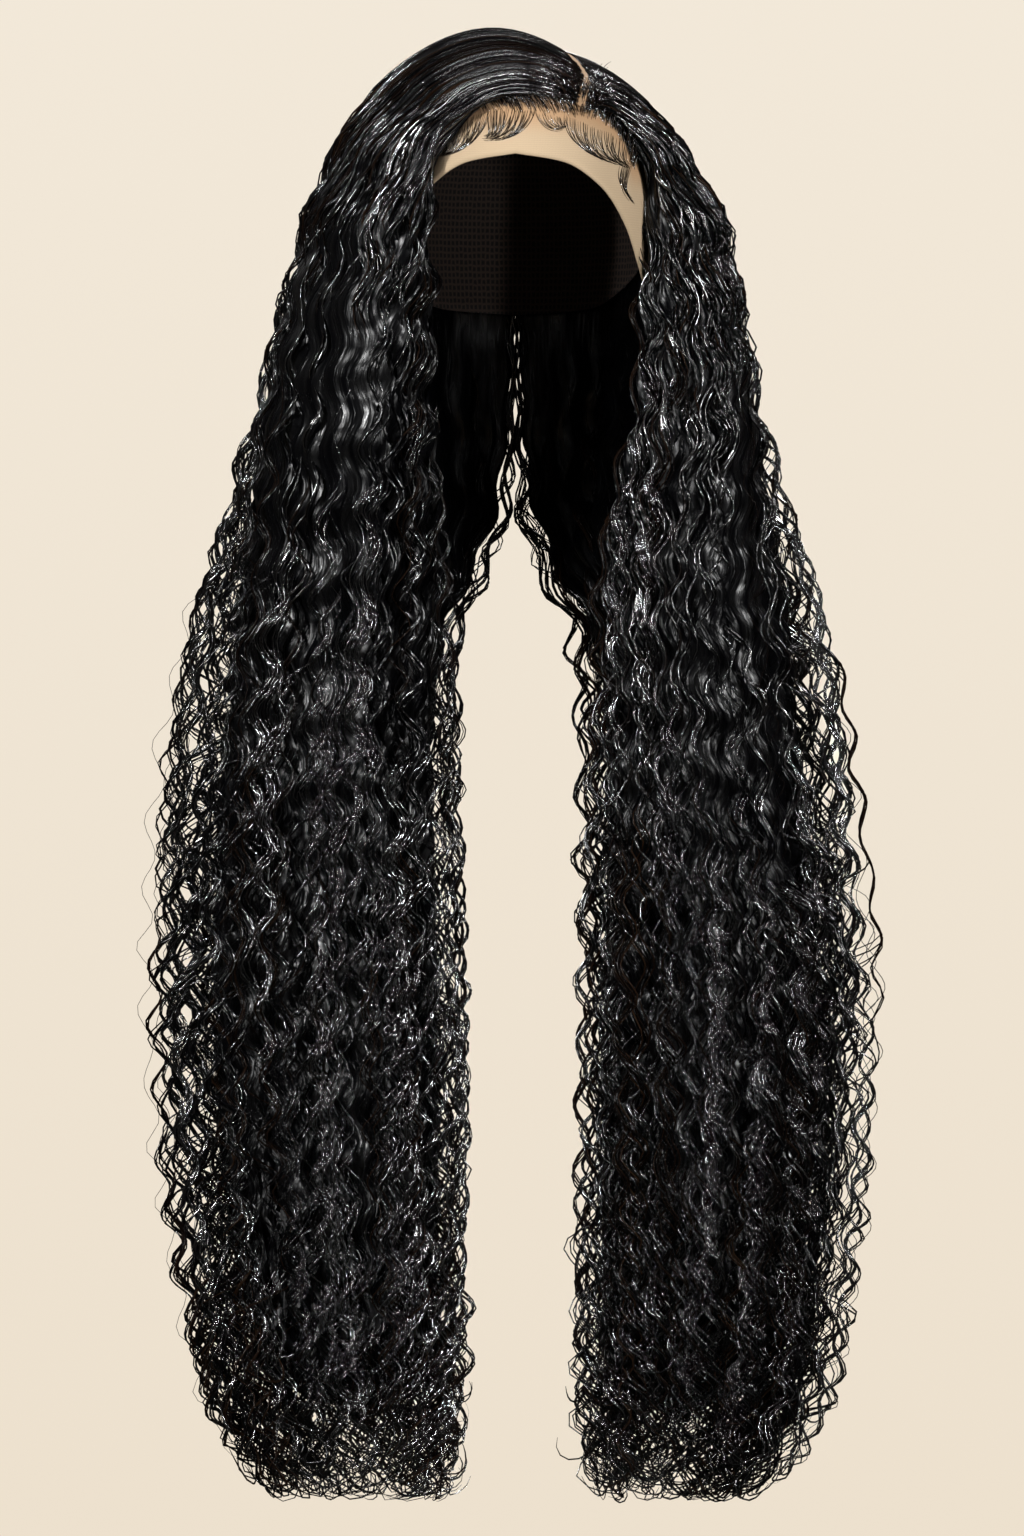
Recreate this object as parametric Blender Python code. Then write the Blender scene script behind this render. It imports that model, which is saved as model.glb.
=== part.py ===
"""Long wavy lace front wig, held up the way a head holds it.

Metres, +Z up. The face looks along -Y, and left and right are as seen from the front, so left is
-X. The origin is the top of the inside of the cap, where the crown of the head sits.

The wig is a sheer lace front from ear to ear, a cap behind it, and the hair. The hair leaves one
root line: a side parting on the right, which runs back over the crown to the middle of the nape.
From there it is combed over the cap, gains body at the sides and hangs in a left and a right
curtain. Each curtain is three bodies of locks: front, side and back.
"""

import math

import bpy
import numpy as np

# The head that the cap fits: its widest level is CROWN_HEIGHT below the crown.
HEAD_WIDTH = 0.152
HEAD_DEPTH = 0.192
CROWN_HEIGHT = 0.105
NAPE_TAPER = 0.30
CAP_DROP = 0.150

LACE_WALL = 0.0010
CAP_WALL = 0.0015
SEAM_GAP = 0.0003
HAIR_SEAT = 0.0008

# The hair.
HAIR_DROP = 0.812
HALF_SPREAD = 0.208
HALF_DEPTH = 0.088
ROOT_BODY = 0.0025
ROOT_LIFT = 0.0050
SIDE_BODY = 0.042
PARTING_WIDTH = 0.0045
NECK_HOLLOW = 0.024
CURTAIN_START = 0.010
FREE_FROM = 0.235

# The waves and the locks that they run through.
WAVE_LENGTH = 0.042
WAVE_SWING = 0.0055
WAVE_LIFT = 0.0048
WAVE_START = 0.115
WAVE_FULL = 0.230
LOCK_RIDGE = 0.0105
LOCK_TIP = 0.026
LOCK_PHASE = 0.55

BODIES_A_SIDE = 3
LOCKS_A_BODY = 3
DOME_ROWS = 11
ROWS_A_WAVE = 4
SHELL_COLUMNS = 18
SHELL_ROWS = 9

# The outline angles, in degrees, at which a hanging curtain's outer and inner faces end.
OUTER_CORNER = 105.0
INNER_CORNER = 130.0

# How fast the hair gains body on its way from the parting, and how far along it the roots lift.
BODY_GROWTH = 1.8
LIFT_END = 0.12

# The shares of the root line over which the parting narrows to a seam.
PARTING_CLOSES = (0.30, 0.62)

# A valley at a curtain's front or back edge is this share of the others. Ridges and waves get
# smaller where a section is under full width by more than its spare room.
EDGE_VALLEY = 0.4
SPARE_ROOM = 1.15

# The cap's lower edge, from the middle of the forehead round to the nape. It dips to an ear tab
# at the temple, clears the ear and falls to the nape. drop is a share of CAP_DROP.
EDGE = {
    "turn": [0, 22, 40, 54, 66, 76, 90, 104, 120, 145, 180],
    "drop": [0.44, 0.47, 0.56, 0.70, 0.84, 0.90, 0.82, 0.80, 0.88, 0.98, 1.00],
}

# The combed flow of the hair over the head, one row for each share of the way from the front
# edge to the middle of the back. Coordinates are on a flat chart of the head seen from above:
# 0 is the crown and 1 is the widest level. A strand leaves at root, bends by lead and fall, and
# crosses the widest level at the angle turn, in degrees from +X.
FLOW_COLUMNS = ("share", "root_x", "root_y", "lead_x", "lead_y", "fall_x", "fall_y", "turn")
FLOW_LEFT = [
    (0.0, 0.400, -0.416, 0.10, -0.56, -0.42, -0.50, -130),
    (0.2, 0.350, -0.270, 0.05, -0.36, -0.52, -0.42, -156),
    (0.4, 0.280, -0.120, -0.02, -0.16, -0.60, -0.18, -182),
    (0.6, 0.205, 0.030, -0.08, 0.02, -0.56, 0.16, -210),
    (0.8, 0.080, 0.165, -0.13, 0.19, -0.41, 0.46, -240),
    (0.9, 0.000, 0.235, -0.10, 0.32, -0.22, 0.64, -254),
    (1.0, 0.000, 0.290, 0.00, 0.42, 0.00, 0.75, -270),
]
FLOW_RIGHT = [
    (0.0, 0.400, -0.416, 0.50, -0.27, 0.72, -0.20, -23),
    (0.2, 0.350, -0.270, 0.48, -0.18, 0.78, -0.08, -4),
    (0.4, 0.280, -0.120, 0.42, -0.06, 0.74, 0.12, 18),
    (0.6, 0.205, 0.030, 0.34, 0.09, 0.62, 0.34, 42),
    (0.8, 0.080, 0.165, 0.20, 0.27, 0.38, 0.58, 66),
    (0.9, 0.000, 0.235, 0.10, 0.36, 0.20, 0.67, 78),
    (1.0, 0.000, 0.290, 0.00, 0.42, 0.00, 0.75, 90),
]

# Level sections of the hanging curtains. drop is a share of the way from the widest level of
# the head to the tips; inner, outer and split are shares of HALF_SPREAD: the face side's inner
# edge, the outermost point and the inner edge at the back; front and back are shares of
# HALF_DEPTH; hollow is the share of NECK_HOLLOW that the inner face bows out round the neck.
SECTION_COLUMNS = ("drop", "inner", "outer", "split", "front", "back", "hollow")
SECTIONS_LEFT = [
    (0.00, 0.245, 0.573, 0.000, -0.97, 1.40, 1.0),
    (0.08, 0.240, 0.650, 0.000, -0.98, 1.38, 1.0),
    (0.15, 0.220, 0.720, 0.020, -0.98, 1.32, 1.0),
    (0.22, 0.188, 0.800, 0.065, -0.96, 1.20, 0.9),
    (0.33, 0.147, 0.905, 0.105, -0.90, 1.03, 0.5),
    (0.44, 0.125, 0.975, 0.115, -0.84, 0.89, 0.0),
    (0.58, 0.103, 1.000, 0.103, -0.77, 0.78, 0.0),
    (0.70, 0.106, 0.978, 0.106, -0.72, 0.70, 0.0),
    (0.82, 0.118, 0.915, 0.118, -0.67, 0.63, 0.0),
    (0.91, 0.139, 0.840, 0.139, -0.60, 0.56, 0.0),
    (0.97, 0.168, 0.730, 0.168, -0.52, 0.47, 0.0),
    (1.00, 0.205, 0.650, 0.205, -0.42, 0.36, 0.0),
]
SECTIONS_RIGHT = [
    (0.00, 0.337, 0.545, 0.000, -0.80, 1.40, 1.0),
    (0.08, 0.315, 0.615, 0.000, -0.85, 1.38, 1.0),
    (0.15, 0.240, 0.688, 0.020, -0.90, 1.32, 1.0),
    (0.22, 0.190, 0.768, 0.065, -0.93, 1.20, 0.9),
    (0.33, 0.177, 0.875, 0.125, -0.90, 1.03, 0.5),
    (0.44, 0.147, 0.935, 0.145, -0.84, 0.89, 0.0),
    (0.58, 0.133, 0.988, 0.133, -0.77, 0.78, 0.0),
    (0.70, 0.128, 0.975, 0.128, -0.72, 0.70, 0.0),
    (0.82, 0.139, 0.928, 0.139, -0.67, 0.63, 0.0),
    (0.91, 0.158, 0.860, 0.158, -0.60, 0.56, 0.0),
    (0.97, 0.195, 0.750, 0.195, -0.52, 0.47, 0.0),
    (1.00, 0.235, 0.655, 0.235, -0.42, 0.36, 0.0),
]

# How much of the full body the hair has, from the front edge to the middle of the back.
FULLNESS = {
    "share": [0.0, 0.12, 0.35, 0.70, 1.0],
    "body": [0.36, 0.80, 1.00, 0.86, 0.72],
}

MATERIALS = {
    "hair": {"color": (0.012, 0.010, 0.010), "roughness": 0.32},
    "lace": {"color": (0.62, 0.42, 0.27), "roughness": 0.85},
    "cap": {"color": (0.020, 0.018, 0.018), "roughness": 0.90},
}

# What the sizes above give.
BODY_COLUMNS = 2 * LOCKS_A_BODY
COLUMNS = BODY_COLUMNS * BODIES_A_SIDE
SHARES = np.linspace(0.0, 1.0, COLUMNS + 1)
SEAT = max(LACE_WALL, CAP_WALL) + HAIR_SEAT
HANG = HAIR_DROP - CROWN_HEIGHT
HANG_ROWS = round(HANG / WAVE_LENGTH * ROWS_A_WAVE)
LEVELS = np.linspace(0.0, 1.0, HANG_ROWS + 1)[1:]
BELOW_CAP = CAP_DROP - CROWN_HEIGHT + CURTAIN_START


def smooth(value, low, high):
    """0 below low, 1 above high, and an S curve between."""
    t = np.clip((value - low) / (high - low), 0.0, 1.0)
    return t * t * (3.0 - 2.0 * t)


def eased(at, xs, ys):
    """A table read as a smooth curve through its points that never overshoots them."""
    at, xs, ys = (np.asarray(values, float) for values in (at, xs, ys))
    slopes = np.diff(ys) / np.diff(xs)
    before, after = slopes[:-1], slopes[1:]
    same_way = before * after > 0
    total = np.where(same_way, before + after, 1.0)
    middle = np.where(same_way, 2 * before * after / total, 0.0)
    tangents = np.concatenate([slopes[:1], middle, slopes[-1:]])
    at = np.clip(at, xs[0], xs[-1])
    i = np.clip(np.searchsorted(xs, at, side="right") - 1, 0, len(xs) - 2)
    width = xs[i + 1] - xs[i]
    t = (at - xs[i]) / width
    return (
        (1 + 2 * t) * (1 - t) ** 2 * ys[i]
        + t * (1 - t) ** 2 * width * tangents[i]
        + t * t * (3 - 2 * t) * ys[i + 1]
        + t * t * (t - 1) * width * tangents[i + 1]
    )


def column(table, names, name, at):
    """One named column of a table, read at a share of its first column."""
    rows = np.array(table, float)
    return eased(at, rows[:, 0], rows[:, names.index(name)])


def head_point(turn, tilt, rise):
    """A point over the head: turn round it from +X, tilt down from the crown, rise off it."""
    below = np.maximum(tilt - math.pi / 2, 0.0)
    level = np.minimum(tilt, math.pi / 2)
    reach = np.sin(level) - NAPE_TAPER * below**2
    x = (HEAD_WIDTH / 2 + rise) * reach * np.cos(turn)
    y = (HEAD_DEPTH / 2 + rise) * reach * np.sin(turn)
    z = (CROWN_HEIGHT + rise) * np.cos(level) - CROWN_HEIGHT * (1 + below)
    return np.stack(np.broadcast_arrays(x, y, z), axis=-1)


def tilt_of_drop(drop):
    """The tilt at which the bare head is drop below its crown."""
    on_dome = np.arccos(np.clip(1 - drop / CROWN_HEIGHT, 0.0, 1.0))
    below = math.pi / 2 + (drop - CROWN_HEIGHT) / CROWN_HEIGHT
    return np.where(drop < CROWN_HEIGHT, on_dome, below)


def edge_tilt(turn):
    """The tilt of the cap's lower edge, at an angle round the head from +X."""
    from_front = np.abs((np.degrees(turn) + 270) % 360 - 180)
    return tilt_of_drop(CAP_DROP * eased(from_front, EDGE["turn"], EDGE["drop"]))


class Solid:
    """Collects points and triangles, and makes one named object of them."""

    def __init__(self):
        self.points = []
        self.triangles = []

    def add(self, grid):
        """Adds a grid of points, and returns the grid of their numbers."""
        grid = np.asarray(grid, float)
        first = sum(len(part) for part in self.points)
        self.points.append(grid.reshape(-1, 3))
        return first + np.arange(grid.size // 3).reshape(grid.shape[:-1])

    def strip(self, upper, lower, turned=False):
        """Two triangles between each neighbouring pair in two rows of as many points."""
        for a, b, c, d in zip(upper[:-1], upper[1:], lower[1:], lower[:-1]):
            self.triangles += [(c, b, a), (d, c, a)] if turned else [(a, b, c), (a, c, d)]

    def fan(self, middle, rim):
        """A triangle from one point to each neighbouring pair of a row."""
        for a, b in zip(rim[:-1], rim[1:]):
            self.triangles.append((middle, a, b))

    def sheet(self, rows, turned=False):
        """The strips down a whole grid."""
        for upper, lower in zip(rows[:-1], rows[1:]):
            self.strip(upper, lower, turned)

    def make(self, name, material, flipped):
        """Links the object. flipped turns its faces round, for a grid that runs the other way."""
        points = np.concatenate(self.points)
        order = slice(None, None, -1) if flipped else slice(None)
        faces = [tuple(int(i) for i in face)[order] for face in self.triangles]
        mesh = bpy.data.meshes.new(name)
        mesh.from_pydata(points.tolist(), [], faces)
        mesh.update()
        mesh.materials.append(material)
        made = bpy.data.objects.new(name, mesh)
        bpy.context.scene.collection.objects.link(made)
        return made


def shell(name, material, wall, first_turn, last_turn, shift):
    """Half of the cap: a wall over the head from the crown down to the lower edge.

    shift moves the half off the ear to ear seam, along Y.
    """
    turns = np.radians(np.linspace(first_turn, last_turn, SHELL_COLUMNS + 1))
    shares = np.linspace(0.0, 1.0, SHELL_ROWS + 1)[1:]
    tilts = shares[:, None] * edge_tilt(turns)[None, :]
    offset = np.array([0.0, shift, 0.0])
    solid = Solid()
    outer = solid.add(head_point(turns[None, :], tilts, wall) + offset)
    inner = solid.add(head_point(turns[None, :], tilts, 0.0) + offset)
    outer_crown = solid.add(head_point(0.0, 0.0, wall) + offset)
    inner_crown = solid.add(head_point(0.0, 0.0, 0.0) + offset)
    solid.fan(outer_crown, outer[0][::-1])
    solid.fan(inner_crown, inner[0])
    solid.sheet(outer)
    solid.sheet(inner, turned=True)
    solid.strip(outer[-1], inner[-1])
    first_end = np.append(outer_crown, outer[:, 0]), np.append(inner_crown, inner[:, 0])
    last_end = np.append(outer_crown, outer[:, -1]), np.append(inner_crown, inner[:, -1])
    solid.strip(*first_end)
    solid.strip(*last_end, turned=True)
    return solid.make(name, material, flipped=True)


def curve_point(t, points):
    """A point on the cubic curve that four chart coordinates bend."""
    a, b, c, d = points
    return (1 - t) ** 3 * a + 3 * t * (1 - t) ** 2 * b + 3 * t * t * (1 - t) * c + t**3 * d


def combed(flow, sign, along):
    """Turn and tilt of the combed hair, a row for each step along and a column for each share.

    Each strand starts half the parting's width to its own side of the root line.
    """
    root_x, root_y, lead_x, lead_y, fall_x, fall_y, turn = (
        column(flow, FLOW_COLUMNS, name, SHARES) for name in FLOW_COLUMNS[1:]
    )
    line_x, line_y = np.gradient(root_x), np.gradient(root_y)
    line_x[-1], line_y[-1] = 0.0, 1.0
    line = np.hypot(line_x, line_y)
    chart_unit = math.pi / 2 * (HEAD_WIDTH / 2 + HEAD_DEPTH / 2 + CROWN_HEIGHT) / 3
    width = PARTING_WIDTH * (1 - smooth(SHARES, *PARTING_CLOSES)) + SEAM_GAP
    aside = sign * width / 2 / chart_unit / line
    turn = np.radians(turn)
    t = along[:, None]
    chart_x = curve_point(t, (root_x + aside * line_y, lead_x, fall_x, np.cos(turn)))
    chart_y = curve_point(t, (root_y - aside * line_x, lead_y, fall_y, np.sin(turn)))
    return np.arctan2(chart_y, chart_x), np.hypot(chart_x, chart_y) * math.pi / 2


def body_over_head(fullness, along):
    """How far the hair stands off the cap on its way from the root to the widest level."""
    lifted = ROOT_BODY + ROOT_LIFT * smooth(along, 0.0, LIFT_END)
    return lifted + (SIDE_BODY * fullness - lifted) * along**BODY_GROWTH


def curtain_section(sections, sign, shares, corner):
    """Level outlines of a hanging curtain, from its front corner round the outside to its back.

    Each half, front and back, is a quarter or more of an ellipse round the outermost point.
    corner is the outline angle at the two ends, in degrees.
    """
    inner, outer, split, front, back = (
        column(sections, SECTION_COLUMNS, name, LEVELS)[:, None] for name in SECTION_COLUMNS[1:6]
    )
    angle = np.radians(corner * (2 * shares - 1))[None, :]
    edge = np.where(angle < 0, inner, split)
    radius = (outer - edge) / (1 - math.cos(math.radians(INNER_CORNER)))
    x = HALF_SPREAD * (outer - radius * (1 - np.cos(angle)))
    y = HALF_DEPTH * ((front + back) / 2 + (back - front) / 2 * np.sin(angle))
    return sign * x, y


def blended(ring, x, y, z, share):
    """Points that leave a ring round the head for a curtain's section, by a share per row."""
    free = share[:, None]
    return np.stack(
        [ring[..., 0] * (1 - free) + x * free, ring[..., 1] * (1 - free) + y * free, z], axis=-1
    )


def hanging(flow, sections, sign, fullness):
    """The outer and inner faces of one curtain below the widest level of the head."""
    depth = LEVELS * HANG
    z = np.broadcast_to(-CROWN_HEIGHT - depth[:, None], (len(LEVELS), len(SHARES)))
    turn = np.radians(column(flow, FLOW_COLUMNS, "turn", SHARES))[None, :]
    on_cap = np.minimum(math.pi / 2 + depth / CROWN_HEIGHT, tilt_of_drop(CAP_DROP))[:, None]
    widest = HALF_SPREAD * column(sections, SECTION_COLUMNS, "outer", np.append(0.0, LEVELS))
    widening = (widest[1:] - widest[0])[:, None] * fullness
    ring_outer = head_point(turn, math.pi / 2, SEAT + SIDE_BODY * fullness + widening)
    ring_inner = head_point(turn, on_cap, SEAT)
    outer_x, outer_y = curtain_section(sections, sign, SHARES, OUTER_CORNER)
    end_x, end_y = curtain_section(sections, sign, SHARES[[0, -1]], INNER_CORNER)
    hollow = NECK_HOLLOW * column(sections, SECTION_COLUMNS, "hollow", LEVELS)[:, None]
    bow = sign * hollow * np.sin(math.pi * SHARES)
    inner_x = end_x[:, :1] * (1 - SHARES) + end_x[:, 1:] * SHARES + bow
    inner_y = end_y[:, :1] * (1 - SHARES) + end_y[:, 1:] * SHARES
    outer = blended(ring_outer, outer_x, outer_y, z, smooth(depth, 0.0, FREE_FROM))
    inner = blended(ring_inner, inner_x, inner_y, z, smooth(depth, BELOW_CAP, FREE_FROM))
    return outer, inner


def waved(outer, inner, sections, sign, travelled):
    """The two faces with lock ridges and valleys, waves, and locks of two lengths at the tips."""
    hanging_rows = slice(-len(LEVELS), None)
    split = np.zeros(len(travelled))
    room = np.ones(len(travelled))
    split[hanging_rows] = column(sections, SECTION_COLUMNS, "split", LEVELS)
    wide = column(sections, SECTION_COLUMNS, "outer", LEVELS) - split[hanging_rows]
    room[hanging_rows] = np.minimum(1.0, wide / wide.max() * SPARE_ROOM)
    travelled, room = travelled[:, None], room[:, None]

    strength = smooth(travelled, WAVE_START, WAVE_FULL)
    at_back = np.arange(COLUMNS + 1) == COLUMNS
    apart = smooth(split * HALF_SPREAD, 0.0, 3 * WAVE_SWING)[:, None]
    swing = WAVE_SWING * strength * room * np.where(at_back, apart, 1.0)
    phase = 2 * math.pi * travelled / WAVE_LENGTH + LOCK_PHASE * np.arange(COLUMNS + 1)
    ridge = (np.arange(COLUMNS + 1) % 2).astype(float)
    edge_share = np.where(SHARES % 1.0 == 0.0, EDGE_VALLEY, 1.0)
    valley = LOCK_RIDGE * smooth(travelled, 0.0, WAVE_FULL) * room * (1 - ridge) * edge_share
    lift = WAVE_LIFT * strength * room * np.cos(phase) - valley

    across = np.gradient(outer, axis=1)
    across /= np.linalg.norm(across, axis=2, keepdims=True)
    outward = sign * np.cross(np.gradient(outer, axis=0), across)
    outward /= np.linalg.norm(outward, axis=2, keepdims=True)
    sideways = across * (swing * np.sin(phase))[..., None]
    below_cap = CROWN_HEIGHT * math.pi / 2 + BELOW_CAP
    free = smooth(travelled, below_cap, 2 * below_cap)[..., None]
    outer = outer + sideways + outward * lift[..., None]
    inner = inner + sideways * free

    length = travelled[-1, 0]
    tip = LOCK_TIP * smooth(travelled, length - 2 * LOCK_TIP, length)
    outer[..., 2] -= tip * (ridge - 0.5)
    inner[..., 2] -= tip * (ridge - 0.5)
    closed = split < SEAM_GAP
    for face in (outer, inner):
        face[closed, -1, 0] = 0.0
    return outer, inner, across


def side_of_hair(flow, sections, sign):
    """Points of one side's outer and inner faces, a row for each step from root to tip."""
    fullness = eased(SHARES, FULLNESS["share"], FULLNESS["body"])[None, :]
    along = np.linspace(0.0, 1.0, DOME_ROWS + 1)
    turn, tilt = combed(flow, sign, along)
    dome_outer = head_point(turn, tilt, SEAT + body_over_head(fullness, along[:, None]))
    dome_inner = head_point(turn, tilt, SEAT)
    hang_outer, hang_inner = hanging(flow, sections, sign, fullness)
    outer = np.concatenate([dome_outer, hang_outer])
    inner = np.concatenate([dome_inner, hang_inner])
    quarter = CROWN_HEIGHT * math.pi / 2
    travelled = np.concatenate([along * quarter, quarter + LEVELS * HANG])
    return waved(outer, inner, sections, sign, travelled)


def hair_body(name, material, faces, sign, number):
    """One body of locks: the columns of one side between two of its lock valleys.

    The inner face keeps every column down to the neck, and below it is flat between its edges.
    """
    span = slice(number * BODY_COLUMNS, (number + 1) * BODY_COLUMNS + 1)
    outer, inner, across = (points[:, span].copy() for points in faces)
    at_centre_back = number == BODIES_A_SIDE - 1
    for face in (outer, inner):
        if number > 0:
            face[:, 0] += across[:, 0] * SEAM_GAP / 2
        if at_centre_back:
            face[1:, -1, 0] = sign * np.maximum(sign * face[1:, -1, 0], SEAM_GAP / 2)
        else:
            face[:, -1] -= across[:, -1] * SEAM_GAP / 2
    neck_row = DOME_ROWS + 1 + round((BELOW_CAP + FREE_FROM) / 2 / WAVE_LENGTH * ROWS_A_WAVE)
    solid = Solid()
    outer_at = solid.add(outer)
    inner_top = solid.add(inner[:neck_row])
    inner_low = solid.add(inner[neck_row:][:, [0, -1]])
    solid.sheet(outer_at)
    solid.sheet(inner_top, turned=True)
    solid.sheet(inner_low, turned=True)

    last, low = inner_top[-1], inner_low[0]
    solid.fan(low[0], last[: LOCKS_A_BODY + 1][::-1])
    solid.triangles.append((last[LOCKS_A_BODY], low[0], low[1]))
    solid.fan(low[1], last[LOCKS_A_BODY:][::-1])

    solid.strip(outer_at[:, 0], np.append(inner_top[:, 0], inner_low[:, 0]))
    solid.strip(outer_at[:, -1], np.append(inner_top[:, -1], inner_low[:, -1]), turned=True)
    solid.strip(inner_top[0], outer_at[0])
    rim = np.concatenate([outer_at[-1], inner_low[-1][::-1], outer_at[-1][:1]])
    end = solid.add(np.mean(np.concatenate([outer[-1], inner[-1][[0, -1]]]), axis=0))
    solid.fan(end, rim)
    return solid.make(name, material, flipped=sign > 0)


def material(name):
    """A Principled material with the colour and roughness of a named finish."""
    finish = MATERIALS[name]
    made = bpy.data.materials.new(name)
    made.use_nodes = True
    shader = made.node_tree.nodes["Principled BSDF"]
    shader.inputs["Base Color"].default_value = (*finish["color"], 1.0)
    shader.inputs["Roughness"].default_value = finish["roughness"]
    shader.inputs["Metallic"].default_value = 0.0
    return made


def main():
    """Clears the scene and builds the wig."""
    for thing in list(bpy.data.objects):
        bpy.data.objects.remove(thing)
    hair, lace, cap = material("hair"), material("lace"), material("cap")
    shell("lace_front", lace, LACE_WALL, -180.0, 0.0, -SEAM_GAP / 2)
    shell("cap", cap, CAP_WALL, 0.0, 180.0, SEAM_GAP / 2)
    for side_name, sign, flow, sections in (
        ("left", -1, FLOW_LEFT, SECTIONS_LEFT),
        ("right", 1, FLOW_RIGHT, SECTIONS_RIGHT),
    ):
        faces = side_of_hair(flow, sections, sign)
        for number, place in enumerate(("front", "side", "back")):
            hair_body(f"{side_name}_{place}_hair", hair, faces, sign, number)


main()
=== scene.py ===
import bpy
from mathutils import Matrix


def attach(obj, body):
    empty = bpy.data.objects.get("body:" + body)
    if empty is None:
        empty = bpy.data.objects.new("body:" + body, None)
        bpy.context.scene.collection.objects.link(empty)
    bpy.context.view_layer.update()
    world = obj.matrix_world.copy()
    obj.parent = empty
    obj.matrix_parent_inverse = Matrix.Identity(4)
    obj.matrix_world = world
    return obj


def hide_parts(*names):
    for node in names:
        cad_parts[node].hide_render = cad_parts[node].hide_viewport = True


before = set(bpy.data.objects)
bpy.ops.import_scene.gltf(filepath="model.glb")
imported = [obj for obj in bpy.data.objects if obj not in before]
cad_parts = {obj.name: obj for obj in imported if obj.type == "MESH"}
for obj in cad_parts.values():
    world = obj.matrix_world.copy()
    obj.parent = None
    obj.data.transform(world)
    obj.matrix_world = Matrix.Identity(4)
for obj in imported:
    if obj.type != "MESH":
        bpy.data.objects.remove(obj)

"""The looks of a long black deep wave lace front wig, in metres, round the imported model.

The face looks along -Y, +Z is up, and left and right are as seen from the front. The origin is
the top of the inside of the cap. Every strand is placed on one smooth form of the hair, which a
walk round the curtain and the way down from the root address, and then waves about it.
"""

import logging
import math
from dataclasses import dataclass, field
from enum import Enum

import bmesh
import bpy
import numpy as np

log = logging.getLogger("wig")

Array = np.ndarray
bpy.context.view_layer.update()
BODY = "root"
FULL_TURN = 2 * math.pi
WELD_WITHIN = 2e-5
# What keeps the level part of a move, along X and Y, and drops the rest.
LEVEL = np.array([1.0, 1.0, 0.0])

# Where the walk round a curtain turns. It starts at the outer end of the front edge, reaches the
# back edge's outer and inner ends, and comes back to the front edge's inner end.
OUTSIDE_ENDS, BACK_ENDS, INSIDE_ENDS = 0.56, 0.66, 0.90


def smooth(value: Array, low: float, high: float) -> Array:
    """Zero below low, one above high, and 3t^2 - 2t^3 between."""
    t = np.clip((np.asarray(value, float) - low) / (high - low), 0.0, 1.0)
    return t * t * (3.0 - 2.0 * t)


def eased(at: Array, xs: Array, ys: Array) -> Array:
    """Read a table as a smooth curve through its points that never overshoots them.

    Each span is a cubic whose end slopes are the harmonic means of the slopes on both sides.

    Args:
        at: where to read.
        xs: the table's places, rising.
        ys: the table's values.

    Returns:
        The values at those places.
    """
    at, xs, ys = (np.asarray(values, float) for values in (at, xs, ys))
    slopes = np.diff(ys) / np.diff(xs)
    before, after = slopes[:-1], slopes[1:]
    same_way = before * after > 0
    total = np.where(same_way, before + after, 1.0)
    middle = np.where(same_way, 2 * before * after / total, 0.0)
    tangents = np.concatenate([slopes[:1], middle, slopes[-1:]])
    at = np.clip(at, xs[0], xs[-1])
    i = np.clip(np.searchsorted(xs, at, side="right") - 1, 0, len(xs) - 2)
    width = xs[i + 1] - xs[i]
    t = (at - xs[i]) / width
    return (
        (1 + 2 * t) * (1 - t) ** 2 * ys[i]
        + t * (1 - t) ** 2 * width * tangents[i]
        + t * t * (3 - 2 * t) * ys[i + 1]
        + t * t * (t - 1) * width * tangents[i + 1]
    )


def unit(vectors: Array) -> Array:
    """The same vectors at length one."""
    return vectors / np.maximum(np.linalg.norm(vectors, axis=-1, keepdims=True), 1e-12)


def mix(a: Array, b: Array, t: Array) -> Array:
    """The value that lies a share t of the way from a to b."""
    return a * (1 - t) + b * t


def cubic(t: Array, a: Array, b: Array, c: Array, d: Array) -> Array:
    """The cubic curve from a to d that b and c bend, at t from zero to one."""
    return (1 - t) ** 3 * a + 3 * t * (1 - t) ** 2 * b + 3 * t * t * (1 - t) * c + t**3 * d


def linear(code: str) -> tuple[float, float, float, float]:
    """A colour's linear value from its sRGB hex code."""
    parts = [int(code[i : i + 2], 16) / 255 for i in (1, 3, 5)]
    curved = [c / 12.92 if c <= 0.04045 else ((c + 0.055) / 1.055) ** 2.4 for c in parts]
    return (*curved, 1.0)


class Side(Enum):
    """A side of the wig as seen from the front, and the sign of X there."""

    LEFT = -1
    RIGHT = 1

    @property
    def word(self) -> str:
        """The side's name in piece names."""
        return self.name.lower()


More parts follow.
